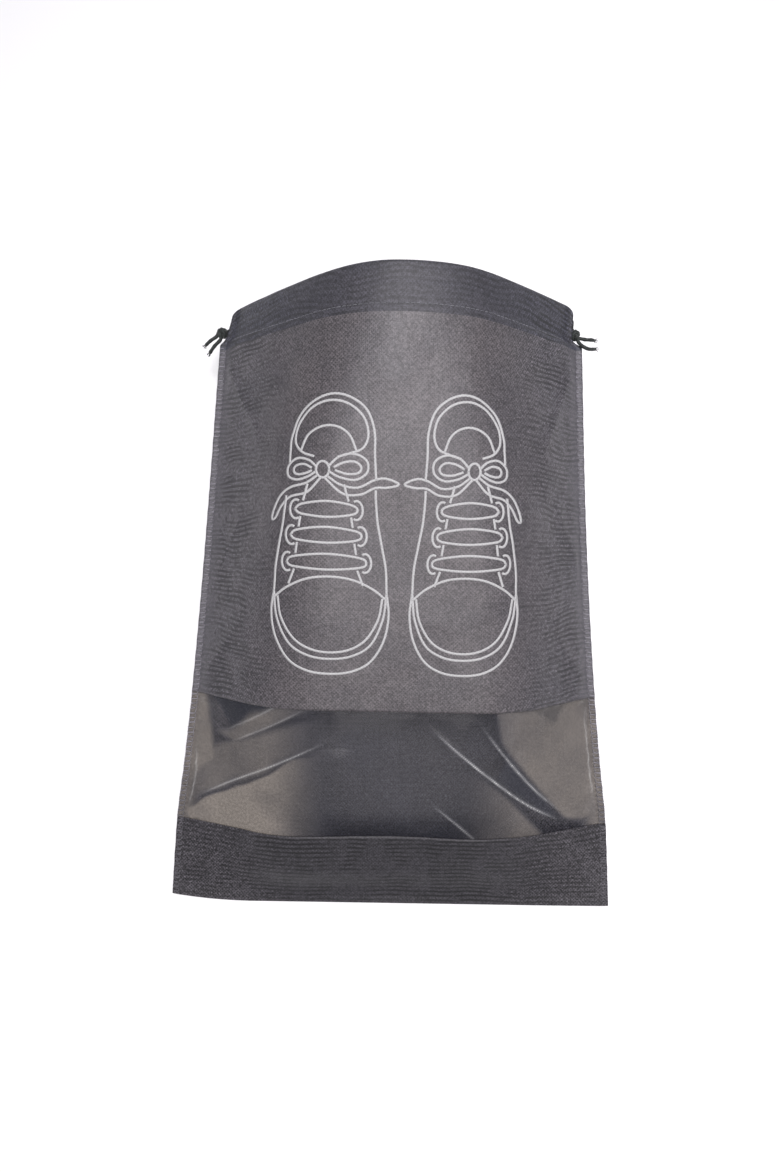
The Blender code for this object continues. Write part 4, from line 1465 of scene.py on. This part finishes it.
def make_hem_thread(side):
    """A lockstitch along the hem: one dash after another, dipping into the cloth between."""
    half = FLAT_HALF_WIDTH * HEM_INNER_SHARE * STITCH_LINE_SHARE
    arch = np.sin(np.linspace(0.0, math.pi, STITCH_PLACES)) ** 0.6
    rise = arch * (STITCH_SINK + STITCH_THREAD * 0.4) - STITCH_SINK
    outside = FABRIC_DEPTH - FABRIC / 2 - rise
    inside = FABRIC_DEPTH + FABRIC + GAP + FABRIC / 2 + rise
    parts = []
    for depth in (outside, inside):
        for s in np.arange(-half, half - STITCH_LENGTH, STITCH_LENGTH + STITCH_GAP):
            places = (s + np.linspace(0.0, STITCH_LENGTH, STITCH_PLACES)) / FLAT_HALF_WIDTH
            path = layer(side, places, HEM_STITCH, depth)
            parts.append(tube_parts(path, STITCH_THREAD / 2, THREAD_AROUND))
    add_root_piece(f"{side}_hem_thread", join_parts(parts), "hem_thread", f"{side}_hem_stitch")


make_hem_thread("front")
make_hem_thread("back")


# ---------------------------------------------------------------- print
INK_WIDTH = 0.00158
INK_BASE = FABRIC_DEPTH - FABRIC / 2 + 0.00004
INK_TOP = FABRIC_DEPTH - FABRIC / 2 - 0.00010
INK_CURVE_STEP = 0.0008
INK_STEP = 0.0009
SHOE_HIGH = 2.07
SHOE_V = (0.177, 0.361)
# Each shoe: (left x, right x, mirrored)
SHOES = ((-0.083, -0.0045, False), (0.0095, 0.0815, True))


def ink_line(points, closed):
    """A flat closed ribbon on the front cloth along (x, v) points."""
    points = np.asarray(points, float)
    if closed:
        points = np.concatenate([points, points[:1]])
    path = even_route(smooth_route(points, INK_CURVE_STEP), INK_STEP)
    direction = np.gradient(path, axis=0)
    if closed:
        ends = path[1] - path[-2]
        direction[0] = ends
        direction[-1] = ends
    direction /= np.linalg.norm(direction, axis=1, keepdims=True)
    normal = np.stack([-direction[:, 1], direction[:, 0]], axis=-1) * INK_WIDTH / 2
    corners = []
    uv = []
    for offset, depth in ((normal, INK_TOP), (-normal, INK_TOP), (-normal, INK_BASE),
                          (normal, INK_BASE)):
        place = path + offset
        u = place_across("front", place[:, 0], place[:, 1])
        corners.append(layer("front", u, place[:, 1], depth))
        uv.append(np.stack([u * FLAT_HALF_WIDTH, place[:, 1]], axis=-1))
    vertices = np.stack(corners, axis=1).reshape(-1, 3)
    uv = np.stack(uv, axis=1).reshape(-1, 2)
    faces = grid_faces(len(path), 4, close_across=True) + end_faces(len(path), 4)
    return vertices, faces, uv


def arc(centre, size, first, last, count):
    """Points on part of an oval of half sizes size, from one angle to another in degrees."""
    angle = np.radians(np.linspace(first, last, count))
    return np.stack([centre[0] + size[0] * np.cos(angle), centre[1] + size[1] * np.sin(angle)], -1)


def with_mirror(half):
    """The points, whose last is on the shoe's middle line, and their mirror image."""
    return half + [(1.0 - x, y) for x, y in half[-2::-1]]


def lace_bar(left, right, y):
    """One crossing of the lace: a long leaf."""
    middle = (left + right) / 2
    return [(left, y), (left + 0.055, y + 0.038), (middle, y + 0.062), (right - 0.055, y + 0.038),
            (right, y), (right - 0.055, y - 0.034), (middle, y - 0.054), (left + 0.055, y - 0.034)]


def shoe_lines():
    """A plain laced shoe seen from above, 1 wide and 2.07 high: (points, closed)."""
    lines = [
        # sole, welt and toe cap
        (with_mirror([(0.020, 0.62), (0.00, 0.45), (0.04, 0.26), (0.15, 0.10), (0.31, 0.02),
                      (0.50, 0.0)]), False),
        (with_mirror([(0.020, 0.62), (0.05, 0.42), (0.15, 0.23), (0.31, 0.14), (0.50, 0.115)]),
         False),
        (with_mirror([(0.055, 0.58), (0.09, 0.42), (0.19, 0.27), (0.33, 0.19), (0.50, 0.165)]),
         False),
        (with_mirror([(0.022, 0.57), (0.14, 0.65), (0.31, 0.715), (0.50, 0.735)]), False),
        # sides of the upper
        ([(0.020, 0.62), (0.030, 0.80), (0.068, 0.98), (0.105, 1.14), (0.128, 1.30), (0.130, 1.33)],
         False),
        ([(0.980, 0.62), (0.970, 0.80), (0.932, 0.98), (0.897, 1.14), (0.880, 1.30), (0.878, 1.38)],
         False),
        # collar and tongue
        ([(0.152, 1.575), (0.158, 1.66), (0.172, 1.78), (0.24, 1.93), (0.37, 2.03), (0.52, 2.07),
          (0.67, 2.04), (0.80, 1.95), (0.862, 1.80), (0.868, 1.63), (0.880, 1.455)], False),
        ([(0.370, 1.615), (0.265, 1.650), (0.205, 1.73), (0.225, 1.85), (0.32, 1.96),
          (0.44, 2.015), (0.56, 2.020), (0.68, 1.98), (0.78, 1.89), (0.812, 1.77), (0.77, 1.68),
          (0.670, 1.640), (0.560, 1.610)], False),
        ([(0.255, 1.665), (0.32, 1.78), (0.44, 1.835), (0.56, 1.830), (0.66, 1.77),
          (0.715, 1.660)], False),
        # bow: knot, two loops with a line inside each, and two ends
        (arc((0.44, 1.520), (0.055, 0.060), 0, 337.5, 16), True),
        ([(0.388, 1.540), (0.32, 1.590), (0.22, 1.605), (0.14, 1.550), (0.145, 1.475),
          (0.22, 1.445), (0.31, 1.465), (0.386, 1.505)], False),
        ([(0.350, 1.530), (0.28, 1.560), (0.21, 1.550), (0.19, 1.515), (0.22, 1.485),
          (0.290, 1.490), (0.350, 1.512)], False),
        ([(0.490, 1.545), (0.58, 1.615), (0.70, 1.635), (0.80, 1.590), (0.805, 1.505),
          (0.71, 1.450), (0.58, 1.465), (0.492, 1.505)], False),
        ([(0.530, 1.535), (0.61, 1.570), (0.70, 1.580), (0.755, 1.545), (0.735, 1.500),
          (0.64, 1.490), (0.540, 1.515)], False),
        ([(0.395, 1.475), (0.30, 1.420), (0.17, 1.390), (0.08, 1.335), (0.02, 1.240),
          (-0.005, 1.160), (0.030, 1.165), (0.09, 1.255), (0.17, 1.320), (0.31, 1.355),
          (0.425, 1.460)], False),
        ([(0.480, 1.470), (0.59, 1.410), (0.73, 1.395), (0.86, 1.450), (0.96, 1.465),
          (1.070, 1.425), (0.97, 1.400), (0.87, 1.395), (0.75, 1.345), (0.60, 1.350),
          (0.455, 1.460)], False),
    ]
    rows = ((0.840, 0.130, 0.805), (1.038, 0.170, 0.765), (1.228, 0.208, 0.730))
    for y, left, right in rows:
        lines.append((lace_bar(left, right, y), True))
        lines.append((arc((left + 0.010, y), (0.052, 0.070), 62, 298, 12), False))
        lines.append((arc((right - 0.010, y), (0.052, 0.070), 118, -118, 12), False))
    # edges of the tongue between the crossings
    for low, high, bottom, top in ((0.672, 0.786, 0.315, 0.265), (0.900, 0.985, 0.255, 0.240),
                                   (1.098, 1.176, 0.225, 0.210), (1.290, 1.415, 0.190, 0.150)):
        for hand in (-1, 1):
            lines.append(([(0.465 + hand * bottom, low), (0.465 + hand * top, high)], False))
    return lines


def make_print():
    """A pair of plain laced shoes in light line, one the mirror of the other."""
    parts = []
    low, high = SHOE_V
    for left, right, mirrored in SHOES:
        for points, closed in shoe_lines():
            x, y = np.asarray(points, float).T
            if mirrored:
                x = 1.0 - x
            place = np.stack([left + (right - left) * x, low + (high - low) * y / SHOE_HIGH], -1)
            parts.append(ink_line(place, closed))
    obj = mesh_object("shoe_print", join_parts(parts), "ink")
    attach(obj, "root")


make_print()
